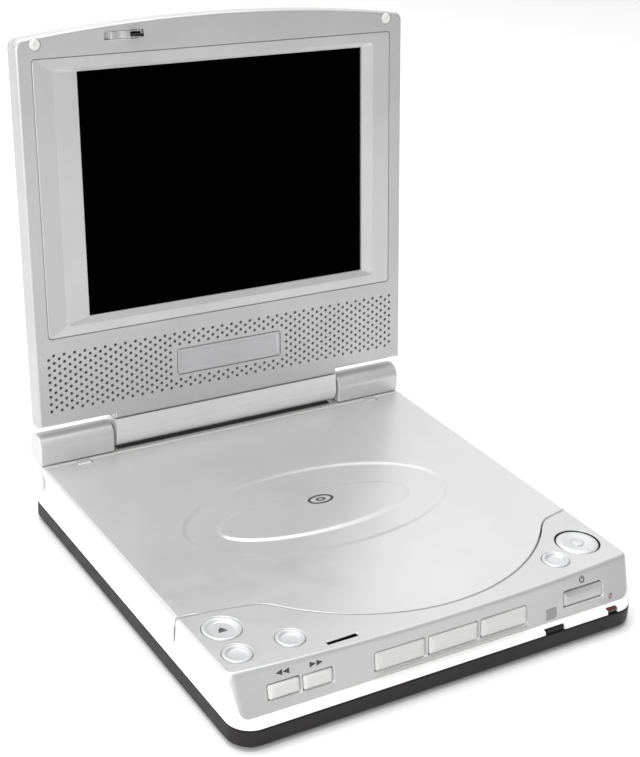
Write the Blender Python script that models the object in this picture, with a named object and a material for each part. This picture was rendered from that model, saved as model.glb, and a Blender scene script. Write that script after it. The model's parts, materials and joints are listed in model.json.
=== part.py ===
"""Portable disc player: a flat base with a top-loading disc drive, and a screen on a rear hinge.

Sizes are in millimetres and the meshes are written in metres. Three frames are used:
the case frame has X to the right, Y back from the base's front edge and Z up from the underside
of the bottom cover; the screen frame has its origin on the screen's hinge axis, Y towards the
screen's back and Z up the screen; the door frame has its origin on the door's hinge axis.
"""

import math

import bmesh
import bpy
from mathutils import Matrix

MM = 0.001
GAP = 0.35
THIN_GAP = 0.3
WALL = 1.6
ARC_STEPS = 6
ROUND_STEPS = 24
SMALL_ROUND_STEPS = 14

# Base
CASE_WIDTH = 152.3
CASE_DEPTH = 156.6
HALF = CASE_WIDTH / 2
COVER_TOP = 5.9
RIM_BOTTOM = COVER_TOP + THIN_GAP
LEDGE_TOP = 8.0
DECK_TOP = 21.96
DECK_UNDER = DECK_TOP - WALL
FASCIA_FOOT_Y = 2.7
FASCIA_HEAD_Y = 8.5
FASCIA_BOW = 3.8
FRONT_CORNER = 8.0
STRIP_CORNER = 4.6
DECK_CORNER = 2.8
REAR_CORNER = 6.0
SIDE_TOP = 13.2
REAR_STRIP_Y = 147.0
FOOT_PROUD = 1.0

# Screen
LEAN_DEG = 6.83
HINGE_Y = 152.6
HINGE_Z = 27.5
BARREL_R = 5.2
BARREL_LEFT = -47.0
BARREL_RIGHT = 46.5
SCREEN_FRONT = -5.0
SCREEN_PARTING = -1.0
SCREEN_BACK = 6.0
BACK_INSET = 8.0
SCREEN_FOOT = 8.5
SCREEN_STEP = 6.6
SCREEN_HEAD = 144.0
SCREEN_BOW = 4.5
SCREEN_CORNER = 3.0
SCREEN_TALLEST = SCREEN_HEAD + SCREEN_BOW
FACE_ZERO = 11.0

# Disc door
DOOR_THICK = 1.8
DOOR_PIVOT_Y = 145.2
DOOR_PIVOT_Z = 20.56
DOOR_ROLL_R = 1.35
DOOR_ARC_X = 7.0
DOOR_ARC_Y = 81.5
DOOR_ARC_R = 70.5
DOOR_SKIRT_FOOT = 13.5
DOOR_SKIRT_FRONT = 42.3
DOOR_WALL = 1.5
DOOR_FRONT_CLEAR = 43.6
DOOR_LIP_FOOT = 18.9
DOOR_SIDE_Y = 41.8
LUG_X = 61.0
LUG_WIDTH = 5.2

# Disc drive
HUB_X = 0.0
HUB_Y = 81.0
WELL_R = 61.5
WELL_FLOOR = 15.0
WELL_RIM = 18.5
WELL_FOOT = 13.0
HUB_HOLE_R = 16.0
CHASSIS_LOW = 6.6
CHASSIS_TOP = 7.8
ROD_X = 17.0
ROD_Z = 10.35
ROD_R = 1.5
ROD_FRONT = 14.0
ROD_REAR = 69.0
SCREW_X = 23.5
SCREW_Z = 9.9
SLED_Y = 57.0
SLED_HALF = 20.5
SLED_TOP = 12.5
CHASSIS_LEFT = -38.0
CHASSIS_RIGHT = 30.0
CHASSIS_FRONT = 10.9
CHASSIS_REAR = 100.0
DAMPER_PLACES = {"front": (-30.0, 31.0), "rear_left": (-32.0, 92.0), "rear_right": (24.0, 94.0)}
MOTOR_R = 11.0
TABLE_R = 14.0
CLAMP_R = 7.3
LEAD_R = 1.5
JOURNAL_R = 1.2

# Boards, battery pack and jacks
BOARD_THICK = 1.2
MAIN_BOARD_LOW = 2.6
KEY_BOARD_LOW = 8.8
PACK_LOW = 4.15
PACK_TOP = 12.4
JACK_INNER = 63.2
JACK_HALF = 4.0
JACK_BORE_R = 1.8

# The box of the whole object, front to back: its middle is the frame's origin.
LEAN = math.radians(LEAN_DEG)
REACH_UP = SCREEN_TALLEST - BACK_INSET
REACH_BACK = HINGE_Y + SCREEN_BACK * math.cos(LEAN) + REACH_UP * math.sin(LEAN)
MIDDLE_Y = REACH_BACK / 2


# ---------------------------------------------------------------- outlines


def arc(x, y, radius, start, end, steps=ARC_STEPS):
    """Points on a circle from one angle to another, in degrees, both ends included."""
    angles = [math.radians(start + (end - start) * i / steps) for i in range(steps + 1)]
    return [(x + radius * math.cos(a), y + radius * math.sin(a)) for a in angles]


def circle(x, y, radius, steps=ROUND_STEPS):
    return arc(x, y, radius, 0, 360 - 360 / steps, steps - 1)


def rectangle(x0, x1, y0, y1, corner=0.0, steps=3):
    if not corner:
        return [(x0, y0), (x1, y0), (x1, y1), (x0, y1)]
    points = arc(x0 + corner, y0 + corner, corner, 180, 270, steps)
    points += arc(x1 - corner, y0 + corner, corner, 270, 360, steps)
    points += arc(x1 - corner, y1 - corner, corner, 0, 90, steps)
    points += arc(x0 + corner, y1 - corner, corner, 90, 180, steps)
    return points


def bezier(p0, p1, p2, p3, steps=5):
    """Points inside a cubic curve, its two ends left out."""
    points = []
    for i in range(1, steps):
        t = i / steps
        weights = ((1 - t) ** 3, 3 * t * (1 - t) ** 2, 3 * t * t * (1 - t), t**3)
        points.append(
            (
                sum(w * p[0] for w, p in zip(weights, (p0, p1, p2, p3))),
                sum(w * p[1] for w, p in zip(weights, (p0, p1, p2, p3))),
            )
        )
    return points


def offset_line(points, distance):
    """An open line moved to its left by a distance."""
    moved = []
    for i, (x, y) in enumerate(points):
        before = points[max(i - 1, 0)]
        after = points[min(i + 1, len(points) - 1)]
        dx = after[0] - before[0]
        dy = after[1] - before[1]
        length = math.hypot(dx, dy)
        moved.append((x - distance * dy / length, y + distance * dx / length))
    return moved


def bowed_front(half, front, bow, steps=12):
    """The front edge between two corners, bowed forward in the middle."""
    spots = [-half + 2 * half * i / steps for i in range(1, steps)]
    return [(x, front - bow * (1 - (x / half) ** 2)) for x in spots]


def case_outline(front, bow=0.0, inset=0.0, corner=FRONT_CORNER):
    """The base seen from above, anticlockwise, with its front edge at the given place."""
    half = HALF - inset
    near = front + inset
    far = CASE_DEPTH - inset
    small = corner - inset
    rear = max(REAR_CORNER - inset, 1.0)
    points = arc(-half + small, near + small, small, 180, 270)
    points += bowed_front(half - small, near, bow)
    points += arc(half - small, near + small, small, 270, 360)
    points += arc(half - rear, far - rear, rear, 0, 90)
    points += arc(-half + rear, far - rear, rear, 90, 180)
    return points


def door_front():
    """The door's front edge from left to right: an arc round the disc with a flare at each end."""
    left_angle = 223.0
    right_angle = 319.5
    sweep = arc(DOOR_ARC_X, DOOR_ARC_Y, DOOR_ARC_R, left_angle, right_angle, 22)
    left_flare = (-53.0, 38.3)
    right_flare = (66.5, 39.6)
    points = [(-HALF, DOOR_SIDE_Y), left_flare]
    points += bezier(left_flare, (-49.0, 37.6), (-46.6, 35.9), sweep[0])
    points += sweep
    points += bezier(sweep[-1], (62.2, 37.2), (63.8, 38.9), right_flare)
    points += [right_flare, (HALF, DOOR_SIDE_Y)]
    return points


def under_door(forward, side, rear):
    """The area behind the door's front edge, moved forward, out to the sides and up to rear."""
    edge = offset_line(door_front(), -forward)
    edge[0] = (-side, edge[0][1])
    edge[-1] = (side, edge[-1][1])
    return edge + [(side, rear), (-side, rear)]


def behind_strip(z):
    """Where the inner face of the key strip's wall lies at a height, and how far it bows."""
    share = (z - LEDGE_TOP) / (DECK_TOP - LEDGE_TOP)
    return FASCIA_FOOT_Y + share * (FASCIA_HEAD_Y - FASCIA_FOOT_Y) + WALL, share * FASCIA_BOW


def front_zone(back, inset, front, bow):
    """The deck in front of the door, seen from above, for the pocket under it."""
    edge = offset_line(door_front(), -back)
    half = HALF - inset
    edge[0] = (-half, edge[0][1])
    edge[-1] = (half, edge[-1][1])
    corner = FRONT_CORNER - inset
    points = arc(-half + corner, front + corner, corner, 180, 270)
    points += bowed_front(half - corner, front, bow)
    points += arc(half - corner, front + corner, corner, 270, 360)
    return points + edge[::-1]


def screen_outline(inset=0.0, corner=SCREEN_CORNER, split=True):
    """The screen seen from its front, with a bowed head and a step at the hinge barrel."""
    half = HALF - inset
    foot = SCREEN_FOOT + inset
    head = SCREEN_HEAD - inset
    points = [(-half, foot)]
    if split:
        step = SCREEN_STEP + inset
        left = BARREL_LEFT + inset
        right = BARREL_RIGHT - inset
        points += [(left, foot), (left, step), (right, step), (right, foot)]
    points.append((half, foot))
    points += arc(half - corner, head - corner, corner, 0, 90, 4)
    span = half - corner
    steps = 12
    for i in range(1, steps):
        x = span - 2 * span * i / steps
        points.append((x, head + SCREEN_BOW * (1 - (x / span) ** 2)))
    points += arc(-half + corner, head - corner, corner, 90, 180, 4)
    return points


# ---------------------------------------------------------------- solids


def clear_scene():
    for item in list(bpy.data.objects):
        bpy.data.objects.remove(item)


def frame_empty(name, place, parent=None, tilt=0.0):
    empty = bpy.data.objects.new(name, None)
    bpy.context.scene.collection.objects.link(empty)
    empty.location = [value * MM for value in place]
    empty.rotation_euler = (tilt, 0, 0)
    empty.parent = parent
    return empty


def paint(item, look):
    """Gives an object a material of its own: colour, roughness and metallic."""
    colour, roughness, metallic = look
    material = bpy.data.materials.new(item.name)
    material.use_nodes = True
    shader = material.node_tree.nodes["Principled BSDF"]
    shader.inputs["Base Color"].default_value = (*colour, 1.0)
    shader.inputs["Roughness"].default_value = roughness
    shader.inputs["Metallic"].default_value = metallic
    item.data.materials.append(material)


def solid(name, shape, parent, look=None, at=(0, 0, 0), turn=None):
    """Makes an object from a bmesh in millimetres. Without a look it is a helper, left out."""
    bmesh.ops.recalc_face_normals(shape, faces=shape.faces)
    bmesh.ops.scale(shape, vec=(MM, MM, MM), verts=shape.verts)
    mesh = bpy.data.meshes.new(name)
    shape.to_mesh(mesh)
    shape.free()
    item = bpy.data.objects.new(name, mesh)
    bpy.context.scene.collection.objects.link(item)
    item.parent = parent
    item.location = [value * MM for value in at]
    if turn is not None:
        item.rotation_euler = turn
    if look is None:
        item.hide_render = True
        item.display_type = "WIRE"
    else:
        mesh.shade_smooth()
        mesh.set_sharp_from_angle(angle=math.radians(30))
        paint(item, look)
    return item


def loft(levels):
    """A closed body through outlines of equal length, each given with its height."""
    shape = bmesh.new()
    rings = [[shape.verts.new((x, y, z)) for x, y in outline] for outline, z in levels]
    sides = []
    for low, high in zip(rings, rings[1:]):
        for i in range(len(low)):
            j = (i + 1) % len(low)
            sides.append(shape.faces.new((low[i], low[j], high[j], high[i])))
    if any(outline is not levels[0][0] for outline, _ in levels):
        # Sides between unlike outlines are twisted, so they are split into flat triangles.
        bmesh.ops.triangulate(shape, faces=sides)
    shape.faces.new(rings[0][::-1])
    shape.faces.new(rings[-1])
    return shape


def prism(outline, low, high):
    return loft([(outline, low), (outline, high)])


def box(x0, x1, y0, y1, z0, z1):
    return prism(rectangle(x0, x1, y0, y1), z0, z1)


def disc(x, y, radius, low, high, steps=ROUND_STEPS):
    return prism(circle(x, y, radius, steps), low, high)


def stand(shape):
    """Turns a body made along Z so that its height lies along Y, for the screen's plates."""
    bmesh.ops.rotate(shape, matrix=Matrix.Rotation(math.radians(90), 3, "X"), verts=shape.verts)
    bmesh.ops.scale(shape, vec=(1, -1, 1), verts=shape.verts)
    bmesh.ops.reverse_faces(shape, faces=shape.faces)
    return shape


def plate(outline, front, back):
    """A plate that faces forward: its outline is X and Z, its thickness runs along Y."""
    return stand(prism(outline, front, back))


def along_x(x0, x1, y, z, radius, steps=SMALL_ROUND_STEPS):
    """A round bar along X."""
    shape = disc(0, 0, radius, x0, x1, steps)
    bmesh.ops.rotate(shape, matrix=Matrix.Rotation(math.radians(90), 3, "Y"), verts=shape.verts)
    bmesh.ops.translate(shape, vec=(0, y, z), verts=shape.verts)
    return shape


def along_y(x, y0, y1, z, radius, steps=SMALL_ROUND_STEPS):
    """A round bar along Y."""
    return plate(circle(x, z, radius, steps), y0, y1)


def turned(profile, steps=ROUND_STEPS):
    """A body turned about Z from a closed profile of radius and height. Radius 0 is the axis."""
    shape = bmesh.new()
    rings = []
    for radius, height in profile:
        if radius:
            rings.append([shape.verts.new((x, y, height)) for x, y in circle(0, 0, radius, steps)])
        else:
            rings.append([shape.verts.new((0, 0, height))])
    pairs = list(zip(rings, rings[1:]))
    if all(radius for radius, _ in profile):
        pairs.append((rings[-1], rings[0]))
    for first, second in pairs:
        for i in range(steps):
            j = (i + 1) % steps
            corners = [first[i % len(first)], first[j % len(first)]]
            corners += [second[j % len(second)], second[i % len(second)]]
            face = list(dict.fromkeys(corners))
            if len(face) > 2:
                shape.faces.new(face)
    return shape


def combine(item, operation, others):
    for other in others:
        modifier = item.modifiers.new(f"{operation.lower()}_{other.name}"[:60], "BOOLEAN")
        modifier.operation = operation
        modifier.object = other


def carve(item, *cutters):
    combine(item, "DIFFERENCE", cutters)


def add_to(item, *pieces):
    combine(item, "UNION", pieces)


# ---------------------------------------------------------------- looks

SILVER = ((0.62, 0.63, 0.64), 0.38, 0.35)
DOOR_SILVER = ((0.70, 0.70, 0.71), 0.35, 0.35)
WHITE = ((0.86, 0.86, 0.86), 0.35, 0.0)
PEARL = ((0.83, 0.83, 0.83), 0.3, 0.1)
CHARCOAL = ((0.045, 0.04, 0.04), 0.5, 0.0)
WELL_BLACK = ((0.03, 0.03, 0.03), 0.45, 0.0)
RUBBER = ((0.03, 0.03, 0.03), 0.85, 0.0)
PALE_RUBBER = ((0.8, 0.8, 0.78), 0.7, 0.0)
STEEL = ((0.6, 0.6, 0.61), 0.3, 1.0)
BOARD = ((0.02, 0.2, 0.08), 0.5, 0.0)
LENS = ((0.15, 0.2, 0.4), 0.05, 0.0)
SCREEN_BLACK = ((0.005, 0.005, 0.005), 0.15, 0.0)
SMOKED = ((0.05, 0.01, 0.01), 0.15, 0.0)
LAMP = ((0.5, 0.05, 0.03), 0.3, 0.0)
WRAP = ((0.08, 0.12, 0.3), 0.5, 0.0)


# ---------------------------------------------------------------- base shells


def front_y(x, z):
    """Where the sloped key strip lies at a width and a height. Its corners tighten upwards."""
    share = (z - LEDGE_TOP) / (DECK_TOP - LEDGE_TOP)
    corner = STRIP_CORNER + share * (DECK_CORNER - STRIP_CORNER)
    head = FASCIA_HEAD_Y - FASCIA_BOW * (1 - (x / (HALF - corner)) ** 2)
    return FASCIA_FOOT_Y + share * (head - FASCIA_FOOT_Y)


def strip_slope(x):
    """How far the key strip leans back at a width, in radians."""
    rise = DECK_TOP - LEDGE_TOP
    return math.atan2(front_y(x, DECK_TOP) - FASCIA_FOOT_Y, rise)


SCREW_PLACES = {
    "front_left": (-71.4, 13.0),
    "front_right": (71.4, 13.0),
    "rear_left": (-70.3, 151.3),
    "rear_right": (70.3, 151.3),
}
FOOT_PLACES = {
    "front_left": (-60.0, 14.0),
    "front_right": (60.0, 14.0),
    "rear_left": (-60.0, 142.0),
    "rear_right": (60.0, 142.0),
}
SCREW_HEAD_R = 2.1
SCREW_SHANK_R = 0.9
SCREW_HEAD_LOW = 0.1
SCREW_HEAD_TOP = 0.9
SCREW_TIP = 9.0
POST_R = 2.7
POST_FOOT = 2.0
POST_TOP_FRONT = 17.0
FOOT_R = 5.0
FOOT_TOP = 0.3


def bottom_cover(case):
    cover = solid(
        "bottom_cover",
        loft([(case_outline(0.8, inset=0.8), 0), (case_outline(0), 0.8), (case_outline(0), COVER_TOP)]),
        case,
        CHARCOAL,
    )
    inside = solid("cut_cover", prism(case_outline(0, inset=WALL), WALL, 9), case)
    carve(cover, inside)
    recess_top = FOOT_TOP + THIN_GAP
    for name, (x, y) in FOOT_PLACES.items():
        carve(cover, solid(f"cut_foot_{name}", disc(x, y, FOOT_R + GAP, -1, recess_top), case))
    for name, (x, y) in SCREW_PLACES.items():
        profile = [(0, -1), (SCREW_HEAD_R + GAP, -1), (SCREW_HEAD_R + GAP, SCREW_HEAD_TOP + THIN_GAP)]
        profile += [(SCREW_SHANK_R + GAP, SCREW_HEAD_TOP + THIN_GAP), (SCREW_SHANK_R + GAP, 3), (0, 3)]
        hole = turned(profile, SMALL_ROUND_STEPS)
        carve(cover, solid(f"cut_screw_{name}", hole, case, at=(x, y, 0)))
    return cover


DECK_BUTTONS = {
    # name: middle X, middle Y, radius
    "open_button": (-66.0, 30.5, 6.2),
    "menu_button": (-68.0, 17.0, 4.6),
    "display_button": (-50.0, 17.0, 4.6),
    "mode_button": (51.2, 16.2, 4.6),
}
NAV_X = 65.3
NAV_Y = 22.0
NAV_WELL_R = 7.8
NAV_PAD_R = 7.2
NAV_STEM_R = 3.4
NAV_BORE_R = 4.4
NAV_WELL_FLOOR = 20.9
FRONT_KEYS = {
    # name: left X, right X, foot Z, head Z
    "previous_key": (-64.0, -53.3, 12.2, 16.7),
    "next_key": (-52.3, -42.2, 12.1, 16.6),
    "stop_key": (-27.5, -9.2, 11.1, 17.1),
    "pause_key": (-7.8, 10.9, 11.1, 17.1),
    "play_key": (12.3, 30.4, 11.1, 17.1),
    "power_key": (46.4, 62.9, 11.8, 16.9),
}
KEY_PROUD = 0.5
KEY_CAP_DEPTH = 2.6
KEY_FLANGE = 0.8
KEY_FLANGE_BACK = 3.6
BUTTON_TOP = 22.2
BUTTON_FLANGE_TOP = DECK_UNDER - THIN_GAP
BUTTON_FOOT = 17.2
SLOT_X0 = -41.6
SLOT_X1 = -30.8
SLOT_Y = 9.4
SLOT_WIDTH = 1.7
WINDOW_X = 40.8
WINDOW_Z = 11.4
WINDOW_WIDTH = 4.4
WINDOW_HEIGHT = 3.6
LAMP_X = 66.2
LAMP_Z = 10.8
LAMP_R = 0.9
WHEEL_X = 69.6
WHEEL_Y = 24.0
WHEEL_R = 7.1
WHEEL_LOW = 10.4
WHEEL_TOP = 12.6
JACKS = {"headphone_jack": 46.0, "av_jack": 58.0, "dc_jack": 70.0}
JACK_Z = 9.2
JACK_WALL_R = 2.9


def strip_turn(x):
    """The rotation that lays a piece on the key strip at a width."""
    return (-strip_slope(x), 0, 0)


def strip_place(x, z):
    return (x, front_y(x, z), z)


def upper_casing(case):
    edge = 0.5
    heads = case_outline(FASCIA_HEAD_Y, FASCIA_BOW, corner=DECK_CORNER)
    round_off = case_outline(FASCIA_HEAD_Y + edge, FASCIA_BOW, edge, DECK_CORNER)
    casing = solid(
        "upper_casing",
        loft(
            [
                (case_outline(0.2), RIM_BOTTOM),
                (case_outline(0.4), LEDGE_TOP - 0.8),
                (case_outline(FASCIA_FOOT_Y, corner=STRIP_CORNER), LEDGE_TOP),
                (heads, DECK_TOP - edge),
                (round_off, DECK_TOP),
            ]
        ),
        case,
        WHITE,
    )
    cavity = loft(
        [
            (case_outline(0.4, inset=WALL), 4.0),
            (case_outline(0.8, inset=WALL), LEDGE_TOP - 1.4),
            (case_outline(FASCIA_FOOT_Y + 0.3, inset=WALL), LEDGE_TOP + 0.6),
            (case_outline(FASCIA_FOOT_Y + 2.0, FASCIA_BOW * 0.35, inset=WALL), SIDE_TOP + 0.1),
        ]
    )
    carve(casing, solid("cut_casing_cavity", cavity, case))
    pocket_foot = SIDE_TOP - 0.4
    front_pocket = loft(
        [
            (front_zone(1.7, WALL, *behind_strip(pocket_foot)), pocket_foot),
            (front_zone(1.7, WALL, *behind_strip(DECK_UNDER)), DECK_UNDER),
        ]
    )
    carve(casing, solid("cut_casing_front", front_pocket, case))
    door_room = prism(under_door(GAP, HALF + 5, REAR_STRIP_Y), SIDE_TOP, DECK_TOP + 5)
    carve(casing, solid("cut_casing_door", door_room, case))
    rear_pocket = prism(rectangle(-HALF + WALL, HALF - WALL, 148.4, 155.0, 1.0), SIDE_TOP - 0.5, DECK_UNDER)
    carve(casing, solid("cut_casing_rear", rear_pocket, case))
    for name, (x, y) in SCREW_PLACES.items():
        top = POST_TOP_FRONT if name.startswith("front") else DECK_UNDER + 0.4
        post = disc(x, y, POST_R, POST_FOOT, top, SMALL_ROUND_STEPS)
        add_to(casing, solid(f"post_{name}", post, case))
        if name.startswith("front"):
            ends = sorted((x, math.copysign(HALF - WALL + 0.5, x)))
            rib = box(ends[0], ends[1], y - 1, y + 1, LEDGE_TOP, POST_TOP_FRONT - 0.5)
            add_to(casing, solid(f"rib_{name}", rib, case))
        pilot = disc(x, y, SCREW_SHANK_R + GAP, 1.0, SCREW_TIP + 1.0, SMALL_ROUND_STEPS)
        carve(casing, solid(f"cut_pilot_{name}", pilot, case))
    for side in (-1, 1):
        add_to(casing, solid(f"lug_{side}", lug(side), case))
        socket = along_x(side * LUG_X - 4, side * LUG_X + 4, DOOR_PIVOT_Y, DOOR_PIVOT_Z, 1.0, 16)
        carve(casing, solid(f"cut_socket_{side}", socket, case))
        room = disc(side * 55.0, HINGE_Y, 1.6, DECK_UNDER - 2, DECK_TOP + 2, SMALL_ROUND_STEPS)
        carve(casing, solid(f"cut_wires_{side}", room, case))
    carve_controls(casing, case)
    return casing


def lug(side):
    """The arm of the casing that holds the door's stub pins: a round nose on a short block."""
    low = 19.0
    x0 = side * LUG_X - LUG_WIDTH / 2
    radius = 1.3
    outline = arc(DOOR_PIVOT_Y, DOOR_PIVOT_Z, radius, 90, 180, 6)
    outline += [(DOOR_PIVOT_Y - radius, low), (REAR_STRIP_Y + 1.0, low)]
    outline += [(REAR_STRIP_Y + 1.0, DOOR_PIVOT_Z + radius)]
    shape = prism(outline, 0, LUG_WIDTH)
    to_side = Matrix(((0, 0, 1), (1, 0, 0), (0, 1, 0)))
    bmesh.ops.rotate(shape, matrix=to_side, verts=shape.verts)
    bmesh.ops.translate(shape, vec=(x0, 0, 0), verts=shape.verts)
    return shape


def carve_controls(casing, case):
    for name, (x, y, radius) in DECK_BUTTONS.items():
        hole = disc(x, y, radius + GAP, DECK_UNDER - 1, DECK_TOP + 1)
        carve(casing, solid(f"cut_{name}", hole, case))
    nav = [(0, 15), (NAV_BORE_R, 15), (NAV_BORE_R, NAV_WELL_FLOOR)]
    nav += [(NAV_WELL_R, NAV_WELL_FLOOR), (NAV_WELL_R, DECK_TOP + 1), (0, DECK_TOP + 1)]
    carve(casing, solid("cut_nav", turned(nav), case, at=(NAV_X, NAV_Y, 0)))
    for name, (x0, x1, z0, z1) in FRONT_KEYS.items():
        x = (x0 + x1) / 2
        half_width = (x1 - x0) / 2 + GAP
        half_height = (z1 - z0) / 2 + GAP
        outline = rectangle(-half_width, half_width, -half_height, half_height, 0.9)
        hole = plate(outline, -3, 3.4)
        place = strip_place(x, (z0 + z1) / 2)
        carve(casing, solid(f"cut_{name}", hole, case, at=place, turn=strip_turn(x)))
    latch = box(SLOT_X0, SLOT_X1, SLOT_Y - SLOT_WIDTH / 2, SLOT_Y + SLOT_WIDTH / 2, 18, 24)
    carve(casing, solid("cut_latch_slot", latch, case))
    half_width = WINDOW_WIDTH / 2 + THIN_GAP
    half_height = WINDOW_HEIGHT / 2 + THIN_GAP
    window = plate(rectangle(-half_width, half_width, -half_height, half_height), -3, 4)
    place = strip_place(WINDOW_X, WINDOW_Z)
    carve(casing, solid("cut_window", window, case, at=place, turn=strip_turn(WINDOW_X)))
    lamp = along_y(0, -3, 6, 0, LAMP_R + THIN_GAP, 16)
    place = strip_place(LAMP_X, LAMP_Z)
    carve(casing, solid("cut_lamp", lamp, case, at=place, turn=strip_turn(LAMP_X)))
    slot = box(HALF - 4, HALF + 2, WHEEL_Y - 5.2, WHEEL_Y + 5.2, WHEEL_LOW - GAP, WHEEL_TOP + GAP)
    carve(casing, solid("cut_wheel", slot, case))
    for name, y in JACKS.items():
        hole = along_x(HALF - 3, HALF + 1, y, JACK_Z, JACK_WALL_R)
        carve(casing, solid(f"cut_{name}", hole, case))


def hinge_covers(case):
    """The two raised covers over the screen's hinge shafts, on the rear corners."""
    spans = {"left": (-HALF, BARREL_LEFT - 1.0), "right": (BARREL_RIGHT + 1.2, HALF - 0.9)}
    for side, (x0, x1) in spans.items():
        foot = DECK_TOP + THIN_GAP
        outline = arc(HINGE_Y, HINGE_Z, BARREL_R, 0, 180, 14)
        outline += [(HINGE_Y - BARREL_R, foot), (CASE_DEPTH, foot)]
        shape = prism(outline, x0, x1)
        to_side = Matrix(((0, 0, 1), (1, 0, 0), (0, 1, 0)))
        bmesh.ops.rotate(shape, matrix=to_side, verts=shape.verts)
        cover = solid(f"hinge_cover_{side}", shape, case, SILVER)
        inner = x1 if side == "left" else x0
        outward = -1 if side == "left" else 1
        bore = sorted((inner - outward * 1.0, inner + outward * 16.5))
        hole = along_x(bore[0], bore[1], HINGE_Y, HINGE_Z, SHAFT_R + THIN_GAP)
        carve(cover, solid(f"cut_bore_{side}", hole, case))


SHAFT_R = 2.0
SHAFT_OUT = 15.5
SHAFT_IN = 10.0


def feet_and_screws(case):
    profile = [(0, -FOOT_PROUD), (FOOT_R - 0.6, -FOOT_PROUD), (FOOT_R, -FOOT_PROUD + 0.5)]
    profile += [(FOOT_R, FOOT_TOP), (0, FOOT_TOP)]
    for name, (x, y) in FOOT_PLACES.items():
        solid(f"foot_{name}", turned(profile, 24), case, RUBBER, at=(x, y, 0))
    profile = [(0, SCREW_HEAD_LOW), (SCREW_HEAD_R, SCREW_HEAD_LOW), (SCREW_HEAD_R, SCREW_HEAD_TOP)]
    profile += [(SCREW_SHANK_R, SCREW_HEAD_TOP), (SCREW_SHANK_R, SCREW_TIP - 0.6), (0, SCREW_TIP)]
    for name, (x, y) in SCREW_PLACES.items():
        solid(f"case_screw_{name}", turned(profile, 16), case, STEEL, at=(x, y, 0))


# ---------------------------------------------------------------- controls


def deck_controls(case):
    for name, (x, y, radius) in DECK_BUTTONS.items():
        profile = [(0, BUTTON_FOOT), (radius * 0.4, BUTTON_FOOT), (radius * 0.4, BUTTON_FLANGE_TOP - 1)]
        profile += [(radius + 0.9, BUTTON_FLANGE_TOP - 1), (radius + 0.9, BUTTON_FLANGE_TOP)]
        profile += [(radius, BUTTON_FLANGE_TOP), (radius, BUTTON_TOP - 0.5)]
        profile += [(radius - 0.5, BUTTON_TOP), (0, BUTTON_TOP)]
        solid(name, turned(profile), case, PEARL, at=(x, y, 0))
    pivot = NAV_WELL_FLOOR - 2.5
    low = NAV_WELL_FLOOR + GAP - pivot
    top = DECK_TOP - 0.05 - pivot
    foot = -1.6
    profile = [(0, foot), (NAV_STEM_R, foot), (NAV_STEM_R, low), (NAV_PAD_R, low), (NAV_PAD_R, top - 0.3)]
    profile += [(NAV_PAD_R - 0.4, top), (0, top)]
    solid("nav_pad", turned(profile), case, PEARL, at=(NAV_X, NAV_Y, pivot))


def front_keys(case):
    for name, (x0, x1, z0, z1) in FRONT_KEYS.items():
        x = (x0 + x1) / 2
        half_width = (x1 - x0) / 2
        half_height = (z1 - z0) / 2
        cap = rectangle(-half_width, half_width, -half_height, half_height, 0.7)
        rim = rectangle(-half_width + 0.3, half_width - 0.3, -half_height + 0.3, half_height - 0.3, 0.4)
        tall = half_height + KEY_FLANGE
        flange = rectangle(-half_width, half_width, -tall, tall, 0.7)
        shape = loft(
            [
                (rim, -KEY_PROUD),
                (cap, -KEY_PROUD + 0.3),
                (cap, KEY_CAP_DEPTH),
                (flange, KEY_CAP_DEPTH),
                (flange, KEY_FLANGE_BACK),
            ]
        )
        place = strip_place(x, (z0 + z1) / 2)
        solid(name, stand(shape), case, PEARL, at=place, turn=strip_turn(x))


def strip_parts(case):
    window = rectangle(-WINDOW_WIDTH / 2, WINDOW_WIDTH / 2, -WINDOW_HEIGHT / 2, WINDOW_HEIGHT / 2, 0.3)
    place = strip_place(WINDOW_X, WINDOW_Z)
    solid("remote_window", plate(window, 0.05, 1.8), case, SMOKED, at=place, turn=strip_turn(WINDOW_X))
    lamp = along_y(0, 0.05, 3.0, 0, LAMP_R, 16)
    place = strip_place(LAMP_X, LAMP_Z)
    solid("power_lamp", lamp, case, LAMP, at=place, turn=strip_turn(LAMP_X))


def volume_wheel(case):
    teeth = 28
    outline = []
    for i in range(teeth):
        for share, radius in ((0.0, WHEEL_R - 0.35), (0.3, WHEEL_R), (0.7, WHEEL_R)):
            angle = 2 * math.pi * (i + share) / teeth
            outline.append((radius * math.cos(angle), radius * math.sin(angle)))
    place = (WHEEL_X, WHEEL_Y, 0)
    wheel = solid("volume_wheel", prism(outline, WHEEL_LOW, WHEEL_TOP), case, CHARCOAL, at=place)
    carve(wheel, solid("cut_wheel_hub", disc(0, 0, 1.2, 5, 15, 16), case, at=place))


# ---------------------------------------------------------------- inside the base


def disc_well_deck(case):
    side = HALF - WALL - GAP
    block = prism(under_door(-THIN_GAP, side, 146.3), WELL_FOOT, WELL_RIM)
    deck = solid("disc_well_deck", block, case, WELL_BLACK)
    inner = prism(under_door(-THIN_GAP - 1.3, side - 1.3, 145.0), WELL_FOOT - 2, WELL_RIM - 1.4)
    pocket = solid("cut_deck_pocket", inner, case)
    cup = solid("keep_cup", disc(HUB_X, HUB_Y, WELL_R + 1.5, WELL_FLOOR - 1.5, WELL_RIM + 1, 64), case)
    carve(pocket, cup)
    carve(deck, pocket)
    well = disc(HUB_X, HUB_Y, WELL_R, WELL_FLOOR, WELL_RIM + 2, 64)
    carve(deck, solid("cut_well", well, case))
    carve(deck, solid("cut_hub_hole", disc(HUB_X, HUB_Y, HUB_HOLE_R, 10, 20), case))
    slot = prism(rectangle(HUB_X - 7.5, HUB_X + 7.5, 20.4, 70.0, 3.0), 10, 20)
    carve(deck, solid("cut_pickup_slot", slot, case))


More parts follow.
